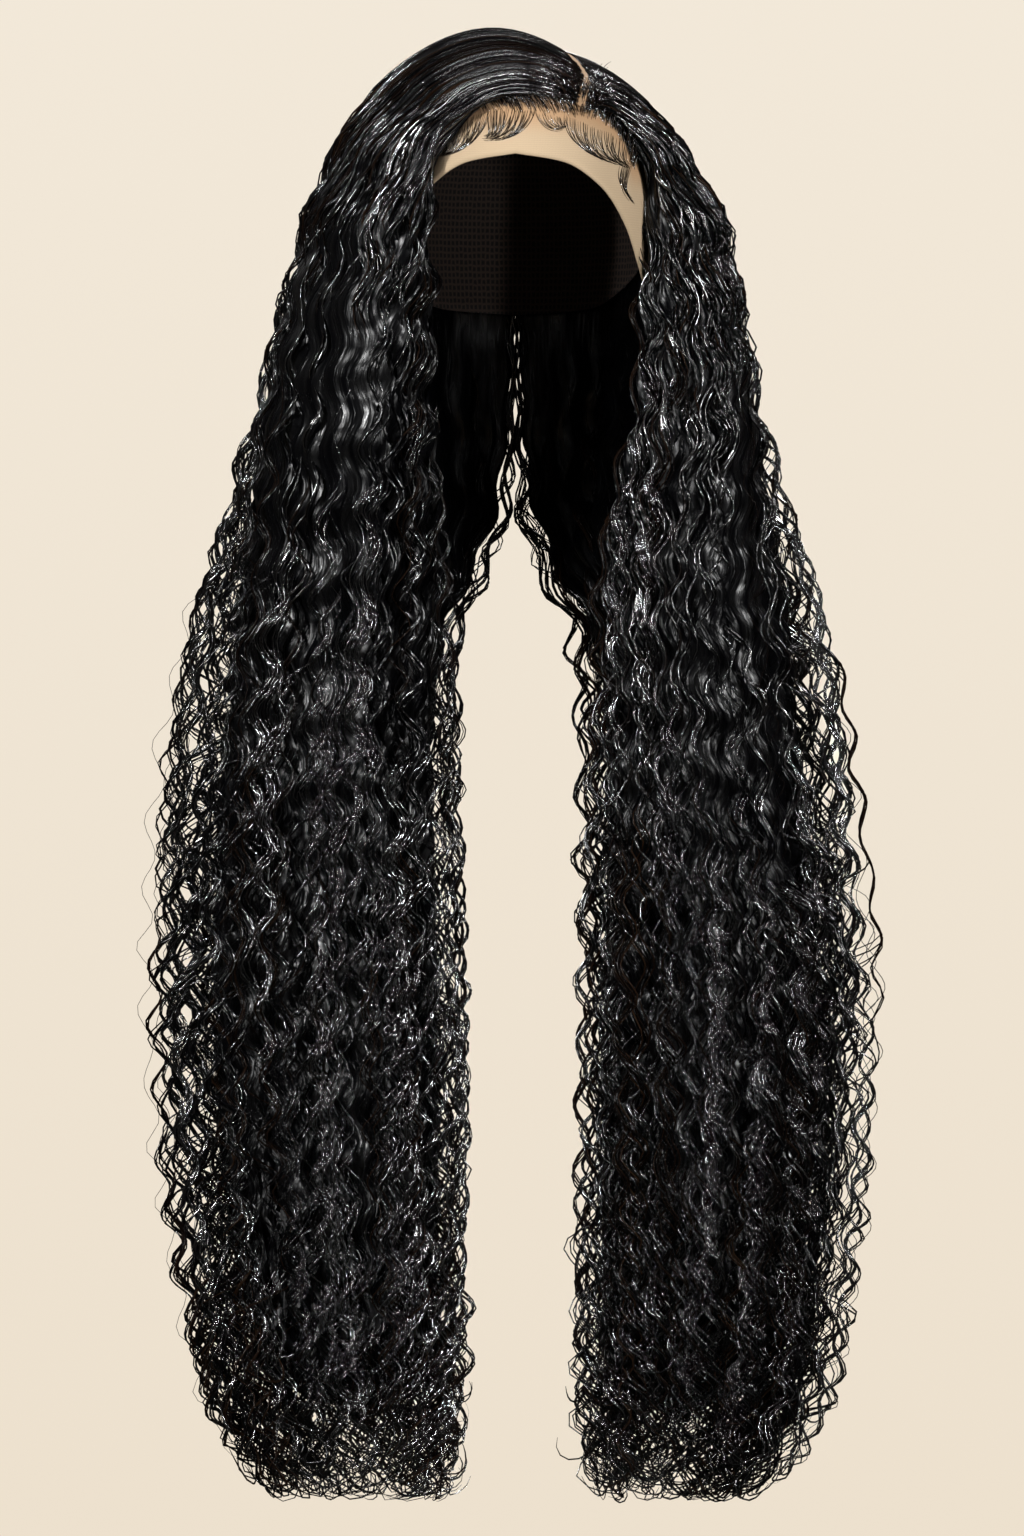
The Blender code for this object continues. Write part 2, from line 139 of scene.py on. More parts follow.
@dataclass(frozen=True)
class HeadForm:
    """The head that the cap fits: an upper half ellipsoid that tapers below its widest level."""

    width: float = 0.152
    depth: float = 0.192
    crown: float = 0.105
    taper: float = 0.30
    cap_drop: float = 0.150

    @property
    def chart_radius(self) -> float:
        """The way from the crown to the widest level: a quarter turn of the mean radius."""
        return (self.width / 2 + self.depth / 2 + self.crown) / 3 * math.pi / 2

    def point(self, turn: Array, tilt: Array, rise: Array) -> Array:
        """A point over the head.

        Down to the widest level it is the ellipsoid whose half axes are the head's plus rise.
        Below it, the level outline shrinks with the square of the way down.

        Args:
            turn: angle round the head from +X.
            tilt: angle down from the crown.
            rise: how far the point stands off the head.

        Returns:
            Points, with X, Y and Z last.
        """
        below = np.maximum(tilt - math.pi / 2, 0.0)
        level = np.minimum(tilt, math.pi / 2)
        reach = np.sin(level) - self.taper * below**2
        x = (self.width / 2 + rise) * reach * np.cos(turn)
        y = (self.depth / 2 + rise) * reach * np.sin(turn)
        z = (self.crown + rise) * np.cos(level) - self.crown * (1 + below)
        return np.stack(np.broadcast_arrays(x, y, z), axis=-1)

    def tilt_of_drop(self, drop: Array) -> Array:
        """The tilt at which the bare head is drop below its crown."""
        on_dome = np.arccos(np.clip(1 - drop / self.crown, 0.0, 1.0))
        return np.where(drop < self.crown, on_dome, math.pi / 2 + (drop - self.crown) / self.crown)

    def front(self, x: Array, z: Array, rise: float) -> Array:
        """Points on the front of the head at a given X and Z, standing off it by rise."""
        tilt = self.tilt_of_drop(-np.asarray(z, float))
        reach = np.sin(np.minimum(tilt, math.pi / 2))
        across = np.clip(x / ((self.width / 2 + rise) * reach), -0.999, 0.999)
        y = -(self.depth / 2 + rise) * reach * np.sqrt(1 - across**2)
        return np.stack([x, y, z + rise * np.cos(np.minimum(tilt, math.pi / 2))], axis=-1)


# The combed hair of each side. Each row is a strand's cubic curve on a flat chart of the head,
# whose unit is the way from the crown to the widest level: its share of the side, its root, the
# two points that lead it, and the turn in degrees at which it leaves the widest level. The
# hanging curtain follows by level: its drop as a share of the hang, its inner and outer faces and
# its split at the back as shares of the half spread, its front and back edges as shares of the
# half depth, and how far its inside bows outwards.
FLOW_NAMES = ("share", "root_x", "root_y", "lead_x", "lead_y", "fall_x", "fall_y", "turn")
SECTION_NAMES = ("drop", "inner", "outer", "split", "front", "back", "hollow")
FLOWS = {
    Side.LEFT: (
        (0.0, 0.340, -0.462, 0.06, -0.60, -0.42, -0.50, -125),
        (0.2, 0.350, -0.270, 0.05, -0.36, -0.52, -0.42, -154),
        (0.4, 0.280, -0.120, -0.02, -0.16, -0.60, -0.18, -182),
        (0.6, 0.205, 0.030, -0.08, 0.02, -0.56, 0.16, -210),
        (0.8, 0.080, 0.165, -0.13, 0.19, -0.41, 0.46, -240),
        (0.9, 0.000, 0.235, -0.10, 0.32, -0.22, 0.64, -254),
        (1.0, 0.000, 0.290, 0.00, 0.42, 0.00, 0.75, -270),
    ),
    Side.RIGHT: (
        (0.0, 0.340, -0.462, 0.50, -0.30, 0.72, -0.20, -23),
        (0.2, 0.350, -0.270, 0.48, -0.18, 0.78, -0.08, -4),
        (0.4, 0.280, -0.120, 0.42, -0.06, 0.74, 0.12, 18),
        (0.6, 0.205, 0.030, 0.34, 0.09, 0.62, 0.34, 42),
        (0.8, 0.080, 0.165, 0.20, 0.27, 0.38, 0.58, 66),
        (0.9, 0.000, 0.235, 0.10, 0.36, 0.20, 0.67, 78),
        (1.0, 0.000, 0.290, 0.00, 0.42, 0.00, 0.75, 90),
    ),
}
SECTIONS = {
    Side.LEFT: (
        (0.00, 0.232, 0.573, 0.000, -0.97, 1.40, 1.0),
        (0.08, 0.226, 0.650, -0.008, -0.98, 1.38, 1.0),
        (0.15, 0.210, 0.720, -0.018, -0.98, 1.32, 1.0),
        (0.22, 0.184, 0.800, 0.004, -0.96, 1.20, 0.9),
        (0.33, 0.162, 0.905, 0.125, -0.90, 1.03, 0.5),
        (0.44, 0.145, 0.975, 0.140, -0.84, 0.89, 0.0),
        (0.58, 0.128, 1.000, 0.128, -0.77, 0.78, 0.0),
        (0.70, 0.126, 0.978, 0.126, -0.72, 0.70, 0.0),
        (0.82, 0.133, 0.915, 0.133, -0.67, 0.63, 0.0),
        (0.91, 0.145, 0.840, 0.145, -0.60, 0.56, 0.0),
        (0.97, 0.168, 0.730, 0.168, -0.52, 0.47, 0.0),
        (1.00, 0.205, 0.650, 0.205, -0.42, 0.36, 0.0),
    ),
    Side.RIGHT: (
        (0.00, 0.337, 0.545, 0.000, -0.80, 1.40, 1.0),
        (0.08, 0.315, 0.615, -0.008, -0.85, 1.38, 1.0),
        (0.15, 0.240, 0.688, -0.018, -0.90, 1.32, 1.0),
        (0.22, 0.200, 0.768, 0.004, -0.93, 1.20, 0.9),
        (0.33, 0.197, 0.875, 0.150, -0.90, 1.03, 0.5),
        (0.44, 0.182, 0.935, 0.175, -0.84, 0.89, 0.0),
        (0.58, 0.168, 0.988, 0.168, -0.77, 0.78, 0.0),
        (0.70, 0.160, 0.975, 0.160, -0.72, 0.70, 0.0),
        (0.82, 0.162, 0.928, 0.162, -0.67, 0.63, 0.0),
        (0.91, 0.172, 0.860, 0.172, -0.60, 0.56, 0.0),
        (0.97, 0.195, 0.750, 0.195, -0.52, 0.47, 0.0),
        (1.00, 0.235, 0.655, 0.235, -0.42, 0.36, 0.0),
    ),
}
# How far the combed hair's lower end stands off the head, by share.
FULLNESS = ((0.0, 0.12, 0.35, 0.70, 1.0), (0.36, 0.80, 1.00, 0.86, 0.72))


def column(table: tuple, names: tuple, name: str, at: Array) -> Array:
    """One named column of a table, read at a share of its first column."""
    rows = np.array(table, float)
    return eased(at, rows[:, 0], rows[:, names.index(name)])


@dataclass
class HairForm:
    """The smooth form of one side's hair, without its waves.

    A place on it has two coordinates. walk goes once round the curtain: from the front edge
    over the outside to the back, through the back edge, back along the inside and out through
    the front edge. travel is the way down in metres, zero at the head's widest level, negative
    over the head up to the root line, and equal to the drop below it.
    """

    side: Side
    head: HeadForm = field(default_factory=HeadForm)
    hair_drop: float = 0.824
    half_spread: float = 0.208
    half_depth: float = 0.088
    root_body: float = 0.0006
    root_lift: float = 0.0030
    side_body: float = 0.042
    parting: float = 0.0076
    inside_bow: float = 0.024
    seat: float = 0.0023
    free_from: float = 0.235
    below_cap: float = 0.055
    body_growth: float = 1.8
    lift_end: float = 0.40
    parting_closes: tuple[float, float] = (0.45, 0.72)
    outer_corner: float = 105.0
    inner_corner: float = 130.0
    dome_rows: int = 48
    hang_rows: int = 160
    columns: int = 96
    walk_steps: int = 240
    skin: float = 0.0022
    skin_starts: float = 0.030
    shrink: float = 0.29
    calm_depth: float = 0.75
    calm_from: tuple[float, float] = (0.50, 0.58)
    calm_to: tuple[float, float] = (0.68, 0.78)
    calm_ends: tuple[float, float] = (0.08, 0.18)
    rounds_over: tuple[float, float] = (0.03, 0.16)
    round_passes: int = 6
    shrinks_over: tuple[float, float] = (0.05, 0.30)
    core_centre: float = 0.34

    def __post_init__(self) -> None:
        """Work out the grids that every place is read from."""
        self.hang = self.hair_drop - self.head.crown
        self.shares = np.linspace(0.0, 1.0, self.columns + 1)
        self.levels = np.linspace(0.0, 1.0, self.hang_rows + 1)[1:]
        outer, inner = self._faces()
        self._walk_round(outer, inner)

    def _read(self, name: str, at: Array) -> Array:
        """One column of this side's section table."""
        return column(SECTIONS[self.side], SECTION_NAMES, name, at)

    def _combed(self, along: Array) -> tuple[Array, Array]:
        """Turn and tilt of the combed hair over the head.

        Each strand is a cubic curve on a flat chart of the head, from half the parting's width
        beside the root line to the widest level.

        Args:
            along: steps from root to widest level, from zero to one.

        Returns:
            Turn and tilt, with a row for each step and a column for each share.
        """
        sign = self.side.value
        root_x, root_y, lead_x, lead_y, fall_x, fall_y, turn = (
            column(FLOWS[self.side], FLOW_NAMES, name, self.shares) for name in FLOW_NAMES[1:]
        )
        line_x, line_y = np.gradient(root_x), np.gradient(root_y)
        line_x[-1], line_y[-1] = 0.0, 1.0
        line = np.hypot(line_x, line_y)
        width = self.parting * (1 - smooth(self.shares, *self.parting_closes))
        aside = sign * width / 2 / self.head.chart_radius / line
        turn = np.radians(turn)
        t = along[:, None]
        x = cubic(t, root_x + aside * line_y, lead_x, fall_x, np.cos(turn))
        y = cubic(t, root_y - aside * line_x, lead_y, fall_y, np.sin(turn))
        return np.arctan2(y, x), np.hypot(x, y) * math.pi / 2

    def _section(self, shares: Array, corner: float) -> tuple[Array, Array]:
        """Level outlines of the hanging curtain: arcs of an ellipse from front to back edge."""
        inner, outer, split, front, back = (
            self._read(name, self.levels)[:, None] for name in SECTION_NAMES[1:6]
        )
        angle = np.radians(corner * (2 * shares - 1))[None, :]
        edge = np.where(angle < 0, inner, split)
        radius = (outer - edge) / (1 - math.cos(math.radians(self.inner_corner)))
        x = self.half_spread * (outer - radius * (1 - np.cos(angle)))
        y = self.half_depth * ((front + back) / 2 + (back - front) / 2 * np.sin(angle))
        return self.side.value * x, y

    def _faces(self) -> tuple[Array, Array]:
        """The outer and inner faces from the root line to the tips."""
        head, sign = self.head, self.side.value
        full = eased(self.shares, *FULLNESS)[None, :]
        along = np.linspace(0.0, 1.0, self.dome_rows + 1)
        turn, tilt = self._combed(along)
        t = along[:, None]
        lifted = self.root_body + self.root_lift * smooth(t, 0.0, self.lift_end)
        body = lifted + (self.side_body * full - lifted) * t**self.body_growth
        dome_outer = head.point(turn, tilt, self.seat + body)
        dome_inner = head.point(turn, tilt, self.seat)

        depth = self.levels * self.hang
        z = np.broadcast_to(-head.crown - depth[:, None], (len(self.levels), len(self.shares)))
        turn = np.radians(column(FLOWS[self.side], FLOW_NAMES, "turn", self.shares))[None, :]
        on_cap = np.minimum(math.pi / 2 + depth / head.crown, head.tilt_of_drop(head.cap_drop))
        widest = self.half_spread * self._read("outer", np.append(0.0, self.levels))
        widening = (widest[1:] - widest[0])[:, None] * full
        ring_outer = head.point(turn, math.pi / 2, self.seat + self.side_body * full + widening)
        ring_inner = head.point(turn, on_cap[:, None], self.seat)
        outer_x, outer_y = self._section(self.shares, self.outer_corner)
        end_x, end_y = self._section(self.shares[[0, -1]], self.inner_corner)
        bow = sign * self.inside_bow * self._read("hollow", self.levels)[:, None]
        bow = bow * np.sin(math.pi * self.shares)
        inner_x = mix(end_x[:, :1], end_x[:, 1:], self.shares) + bow
        inner_y = mix(end_y[:, :1], end_y[:, 1:], self.shares)
        free_out = smooth(depth, 0.0, self.free_from)[:, None]
        free_in = smooth(depth, self.below_cap, self.free_from)[:, None]

        def hanging(ring: Array, x: Array, y: Array, free: Array) -> Array:
            """A face that is the head's outline at first and becomes the curtain's own."""
            return np.stack([mix(ring[..., 0], x, free), mix(ring[..., 1], y, free), z], axis=-1)

        hang_outer = hanging(ring_outer, outer_x, outer_y, free_out)
        hang_inner = hanging(ring_inner, inner_x, inner_y, free_in)
        return np.concatenate([dome_outer, hang_outer]), np.concatenate([dome_inner, hang_inner])

    def _walk_round(self, outer: Array, inner: Array) -> None:
        """Turn the two faces into closed level loops, with their directions and centres."""
        corners = (0.0, OUTSIDE_ENDS, BACK_ENDS, INSIDE_ENDS, 1.0)
        walk = np.arange(self.walk_steps) / self.walk_steps
        share = np.interp(walk, corners, (0.0, 1.0, 1.0, 0.0, 0.0))
        depth = np.interp(walk, corners, (1.0, 1.0, 0.0, 0.0, 1.0))
        at = share * self.columns
        low = np.minimum(at.astype(int), self.columns - 1)
        part = (at - low)[None, :, None]
        out = mix(outer[:, low], outer[:, low + 1], part)
        inn = mix(inner[:, low], inner[:, low + 1], part)
        loop = mix(inn, out, depth[None, :, None])
        level = np.concatenate([np.full(self.dome_rows + 1, -1.0), self.levels * self.hang])
        rounded = loop
        for _ in range(self.round_passes):
            rounded = (np.roll(rounded, 1, axis=1) + rounded * 2 + np.roll(rounded, -1, axis=1)) / 4
        self.loop = mix(loop, rounded, smooth(level, *self.rounds_over)[:, None, None])
        down = np.gradient(self.loop, axis=0)
        self.across = unit(np.roll(self.loop, -1, axis=1) - np.roll(self.loop, 1, axis=1))
        self.outward = unit(self.side.value * np.cross(down, self.across))
        self.over_cap = (walk > BACK_ENDS) & (walk < INSIDE_ENDS)
        steps = np.linalg.norm(np.diff(self.loop[: self.dome_rows + 1], axis=0), axis=2)
        run = steps.sum(axis=0)
        outside = walk <= OUTSIDE_ENDS
        behind = (walk > OUTSIDE_ENDS) & (walk < INSIDE_ENDS)
        self.run_over_head = np.where(outside, run, np.where(behind, run[outside][-1], run[0]))
        x, y, z = self.loop[..., 0], self.loop[..., 1], self.loop[..., 2]
        ends = (x.max(axis=1), x.min(axis=1))
        near, far = ends if self.side is Side.LEFT else ends[::-1]
        self.centre = np.stack([
            near + (far - near) * self.core_centre,
            (y.max(axis=1) + y.min(axis=1)) / 2,
            z.mean(axis=1),
        ], axis=-1)

    def _between(self, walk: Array) -> tuple[Array, Array, Array]:
        """The grid's columns on both sides of places on the walk, and the share between them."""
        at = (np.asarray(walk) % 1.0) * self.walk_steps
        low = at.astype(int) % self.walk_steps
        return low, (low + 1) % self.walk_steps, at - at.astype(int)

    def root_travel(self, walk: Array) -> Array:
        """The travel at which the root line lies, for a place on the walk."""
        low, high, part = self._between(walk)
        return -mix(self.run_over_head[low], self.run_over_head[high], part)

    def calm(self, walk: Array, travel: Array) -> Array:
        """How much wave is left: little under the nape, where the two sides lie close."""
        near = smooth(walk % 1.0, *self.calm_from) * (1 - smooth(walk % 1.0, *self.calm_to))
        return 1 - self.calm_depth * near * (1 - smooth(travel, *self.calm_ends))

    def place(self, walk: Array, travel: Array, sunk: Array) -> tuple[Array, Array, Array]:
        """Places in the hair, by linear reading between the grid's points.

        A sunk place lies inside the form: its level loop is drawn towards the middle of the
        curtain, by a share that grows from nothing beside the head, and by the skin's depth.

        Args:
            walk: how far round the curtain, from zero to one.
            travel: how far down, in metres.
            sunk: zero on the form's surface and one on its core.

        Returns:
            Points, directions along the walk, and directions out of the curtain.
        """
        walk, travel, sunk = np.broadcast_arrays(walk, travel, sunk)
        over = self.dome_rows * (1 + travel / np.maximum(-self.root_travel(walk), 1e-6))
        row = np.where(travel < 0, over, self.dome_rows + travel / self.hang * self.hang_rows)
        row = np.clip(row, 0.0, self.dome_rows + self.hang_rows - 1e-6)
        top = row.astype(int)
        down = (row - top)[..., None]
        low, high, part = self._between(walk)
        part = part[..., None]

        def read(grid: Array) -> Array:
            """The grid's value at every place."""
            above = mix(grid[top, low], grid[top, high], part)
            below = mix(grid[top + 1, low], grid[top + 1, high], part)
            return mix(above, below, down)

        point, across, outward = read(self.loop), unit(read(self.across)), unit(read(self.outward))
        centre = mix(self.centre[top], self.centre[top + 1], down)
        draw = (sunk * self.shrink * smooth(travel, *self.shrinks_over))[..., None]
        point = point + (centre - point) * draw * LEVEL
        grown = smooth(travel - self.root_travel(walk), 0.0, self.skin_starts)
        return point - outward * (sunk * self.skin * grown)[..., None], across, outward


@dataclass
class DeepWave:
    """The crimp that the hair is steamed into: a flat helix whose length shortens downwards."""

    first_length: float = 0.041
    last_length: float = 0.031
    over: float = 0.70
    swing: float = 0.0047
    lift: float = 0.0040
    start: float = -0.105
    full: float = 0.020
    lags: tuple = ((1.3, 2, 0.6), (0.6, 5, 2.1))

    def phase(self, travel: Array) -> Array:
        """The angle along the helix: the sum of full turns over a length that shrinks evenly."""
        rate = (self.first_length - self.last_length) / self.over
        return -FULL_TURN / rate * np.log(1 - rate * travel / self.first_length)

    def strength(self, travel: Array) -> Array:
        """How much of the wave there is: none where the roots are combed flat."""
        return smooth(travel, self.start, self.full)

    def lag(self, walk: Array) -> Array:
        """How far the wave lags round the curtain, so slowly that neighbours keep together.

        It is a sum of sines, each with its size, its turns round the curtain and its beginning.
        """
        return sum(
            size * np.sin(FULL_TURN * turns * walk + begin) for size, turns, begin in self.lags)


@dataclass
class MeshParts:
    """Points, four-sided faces and three-sided faces of one piece, with a UV for each corner."""

    points: list = field(default_factory=list)
    faces: list = field(default_factory=list)
    uvs: list = field(default_factory=list)
    tones: list = field(default_factory=list)
    count: int = 0

    def add(self, points: Array, faces: Array, uvs: Array, tones: Array) -> None:
        """Append points with faces of one size.

        Args:
            points: the new points.
            faces: rows of numbers of the new points.
            uvs: a UV for each corner of each face.
            tones: one value for each new point.
        """
        self.points.append(points.reshape(-1, 3))
        self.faces.append(faces + self.count)
        self.uvs.append(uvs)
        self.tones.append(np.asarray(tones, float).reshape(-1))
        self.count += points.size // 3

    def add_faces(self, faces: Array, uvs: Array, first: int) -> None:
        """Append faces on points that are already there, numbered from first."""
        self.faces.append(faces + first)
        self.uvs.append(uvs)

    def make(self, name: str, material: bpy.types.Material) -> bpy.types.Object:
        """Make the object, shade it smooth and let it ride on the wig's body."""
        points = np.concatenate(self.points)
        sizes = np.concatenate([np.full(len(f), f.shape[1]) for f in self.faces])
        corners = np.concatenate([f.reshape(-1) for f in self.faces])
        uvs = np.concatenate([u.reshape(-1, 2) for u in self.uvs])
        mesh = bpy.data.meshes.new(name)
        mesh.vertices.add(len(points))
        mesh.vertices.foreach_set("co", points.astype(np.float32).reshape(-1))
        mesh.loops.add(len(corners))
        mesh.loops.foreach_set("vertex_index", corners.astype(np.int32))
        mesh.polygons.add(len(sizes))
        starts = np.concatenate([[0], np.cumsum(sizes)[:-1]])
        mesh.polygons.foreach_set("loop_start", starts.astype(np.int32))
        mesh.polygons.foreach_set("use_smooth", np.ones(len(sizes), bool))
        mesh.update(calc_edges=True)
        layer = mesh.uv_layers.new(name="strand")
        layer.data.foreach_set("uv", uvs.astype(np.float32).reshape(-1))
        tone = mesh.attributes.new("tone", "FLOAT", "POINT")
        tone.data.foreach_set("value", np.concatenate(self.tones).astype(np.float32))
        mesh.materials.append(material)
        made = bpy.data.objects.new(name, mesh)
        bpy.context.scene.collection.objects.link(made)
        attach(made, BODY)
        log.info("%s: %d triangles", name, (sizes - 2).sum())
        return made


def corner_uvs(u: Array, v: Array) -> Array:
    """A UV for each corner of a grid's four-sided faces, from the values at its points."""
    grid = np.stack(np.broadcast_arrays(u, v), axis=-1)
    here, beyond = grid[..., :-1, :, :], grid[..., 1:, :, :]
    corners = (here[..., :-1, :], here[..., 1:, :], beyond[..., 1:, :], beyond[..., :-1, :])
    return np.stack(corners, axis=-2).reshape(-1, 4, 2)


def round_faces(number: Array) -> Array:
    """Four-sided faces between loops of point numbers that close along the last axis."""
    beside = np.roll(number, -1, axis=-1)
    here, beyond = number[..., :-1, :], number[..., 1:, :]
    return np.stack([here, beside[..., :-1, :], beside[..., 1:, :], beyond], axis=-1).reshape(-1, 4)


def wall_faces(out: Array, inn: Array, pole: bool) -> Array:
    """Four-sided faces of a thin wall between two grids of points, closed along its edges.

    Args:
        out: numbers of the points on the outside, by row and column.
        inn: numbers of the points on the inside.
        pole: whether the first row is a single point, which has no edge to close.

    Returns:
        The faces. They point outwards where, seen from outside, rows go down and columns go to
        the right.
    """
    quads = [
        (out[:-1, :-1], out[1:, :-1], out[1:, 1:], out[:-1, 1:]),
        (inn[:-1, 1:], inn[1:, 1:], inn[1:, :-1], inn[:-1, :-1]),
        (out[-1, 1:], out[-1, :-1], inn[-1, :-1], inn[-1, 1:]),
        (out[1:, 0], out[:-1, 0], inn[:-1, 0], inn[1:, 0]),
        (out[:-1, -1], out[1:, -1], inn[1:, -1], inn[:-1, -1]),
    ]
    if not pole:
        quads.append((out[0, :-1], out[0, 1:], inn[0, 1:], inn[0, :-1]))
    return np.concatenate([np.stack(quad, axis=-1).reshape(-1, 4) for quad in quads])


def weld(made: bpy.types.Object) -> None:
    """Merge points that lie together, which closes poles and doubled seams."""
    work = bmesh.new()
    work.from_mesh(made.data)
    bmesh.ops.remove_doubles(work, verts=work.verts, dist=WELD_WITHIN)
    work.to_mesh(made.data)
    work.free()


def tubes(parts: MeshParts, paths: Array, facing: Array, wide: Array, thick: Array,
          sides: int, tones: Array, first_u: Array) -> None:
    """Add closed tubes that follow paths.

    Each cross-section is an ellipse: its point at angle a is thick cos a along the facing
    direction, square to the path, plus wide sin a across it. The ends are flat faces.

    Args:
        parts: what the tubes are added to.
        paths: points, one row of the array for each tube.
        facing: the direction that each tube's flat side faces, at each point.
        wide: half width at each point.
        thick: half thickness at each point.
        sides: corners of a cross-section.
        tones: one value for each tube.
        first_u: where each tube's UV begins across.
    """
    count, steps = paths.shape[:2]
    tangent = unit(np.gradient(paths, axis=1))
    face = unit(facing - (facing * tangent).sum(-1, keepdims=True) * tangent)
    aside = np.cross(tangent, face)
    angle = np.arange(sides) / sides * FULL_TURN
    ring = (
        face[:, :, None] * (np.cos(angle)[:, None] * thick[:, :, None, None])
        + aside[:, :, None] * (np.sin(angle)[:, None] * wide[:, :, None, None])
    )
    points = paths[:, :, None] + ring
    number = np.arange(count * steps * sides).reshape(count, steps, sides)
    length = np.concatenate([
        np.zeros((count, 1)), np.cumsum(np.linalg.norm(np.diff(paths, axis=1), axis=2), axis=1)
    ], axis=1)
    girth = FULL_TURN * np.sqrt((wide**2 + thick**2) / 2).max(axis=1)
    u = first_u[:, None] + np.arange(sides + 1)[None, :] / sides * girth[:, None]
    first = parts.count
    tone = np.broadcast_to(tones[:, None, None], (count, steps, sides))
    parts.add(points, round_faces(number), corner_uvs(u[:, None, :], length[:, :, None]), tone)
    end_uv = np.stack([u[:, :-1], np.zeros((count, sides))], axis=-1)
    parts.add_faces(number[:, 0, ::-1], end_uv, first)
    parts.add_faces(number[:, -1], end_uv, first)


def thin_hairs(name: str, paths: Array, facing: Array, half: Array, rng: np.random.Generator,
               material: bpy.types.Material) -> bpy.types.Object:
    """Make a piece of closed three-sided tubes along paths, each with a tone of its own.

    Args:
        name: the piece's name.
        paths: points, one row of the array for each hair.
        facing: the direction that each hair faces, at each point.
        half: half its thickness at each point.
        rng: where the tones are drawn from.
        material: its finish.

    Returns:
        The piece.
    """
    parts = MeshParts()
    count = len(paths)
    tubes(parts, paths, facing, half, half, 3, rng.uniform(0.0, 1.0, count), np.zeros(count))
    return parts.make(name, material)


def add_node(tree: bpy.types.NodeTree, kind: str, settings: dict | None = None,
             links: dict | None = None) -> bpy.types.Node:
    """Add a shader node.

    Args:
        tree: the material's node tree.
        kind: the node's type name.
        settings: values for its properties, or for its inputs where it has one of that name.
        links: the output socket that each named or numbered input reads.

    Returns:
        The new node.
    """
    node = tree.nodes.new(kind)
    for name, value in (settings or {}).items():
        if isinstance(name, int) or name in node.inputs:
            node.inputs[name].default_value = value
        else:
            setattr(node, name, value)
    for name, socket in (links or {}).items():
        tree.links.new(socket, node.inputs[name])
    return node


def new_material(name: str) -> tuple[bpy.types.Material, bpy.types.NodeTree, bpy.types.Node]:
    """A material with its node tree and its Principled shader."""
    material = bpy.data.materials.new(name)
    material.use_nodes = True
    tree = material.node_tree
    return material, tree, tree.nodes["Principled BSDF"]


@dataclass(frozen=True)
class DyedHair:
    """Human hair, bleached of its own tone and dyed off-black.

    Dyed keratin has an index of about 1.55 and a smooth, conditioned cuticle. That gives nearly
    black hair with short cool glints on the crests. Some strands, drawn at random, are painted a
    warm brown: partly their own tone and partly painted light, for light that passes through.
    """

    name: str
    black: str = "#040405"
    warm: str = "#120c09"
    warm_from: float = 0.62
    index: float = 1.55

    def coloured(self) -> tuple:
        """Colour by the strand's tone: most are off-black, and some a warm brown.

        Returns:
            The material, its node tree, its shader and the node that reads the tone.
        """
        material, tree, shader = new_material(self.name)
        tone = add_node(tree, "ShaderNodeAttribute", {"attribute_name": "tone"})
        # Strands whose tone is past warm_from are painted warm brown: partly their own tone, partly
        # painted light passing through them.
        ramp = add_node(tree, "ShaderNodeValToRGB", None, {"Fac": tone.outputs["Fac"]})
        ramp.color_ramp.elements[0].position = self.warm_from
        ramp.color_ramp.elements[0].color = linear(self.black)
        ramp.color_ramp.elements[1].position = 1.0
        ramp.color_ramp.elements[1].color = linear(self.warm)
        tree.links.new(ramp.outputs["Color"], shader.inputs["Base Color"])
        shader.inputs["IOR"].default_value = self.index
        return material, tree, shader, tone


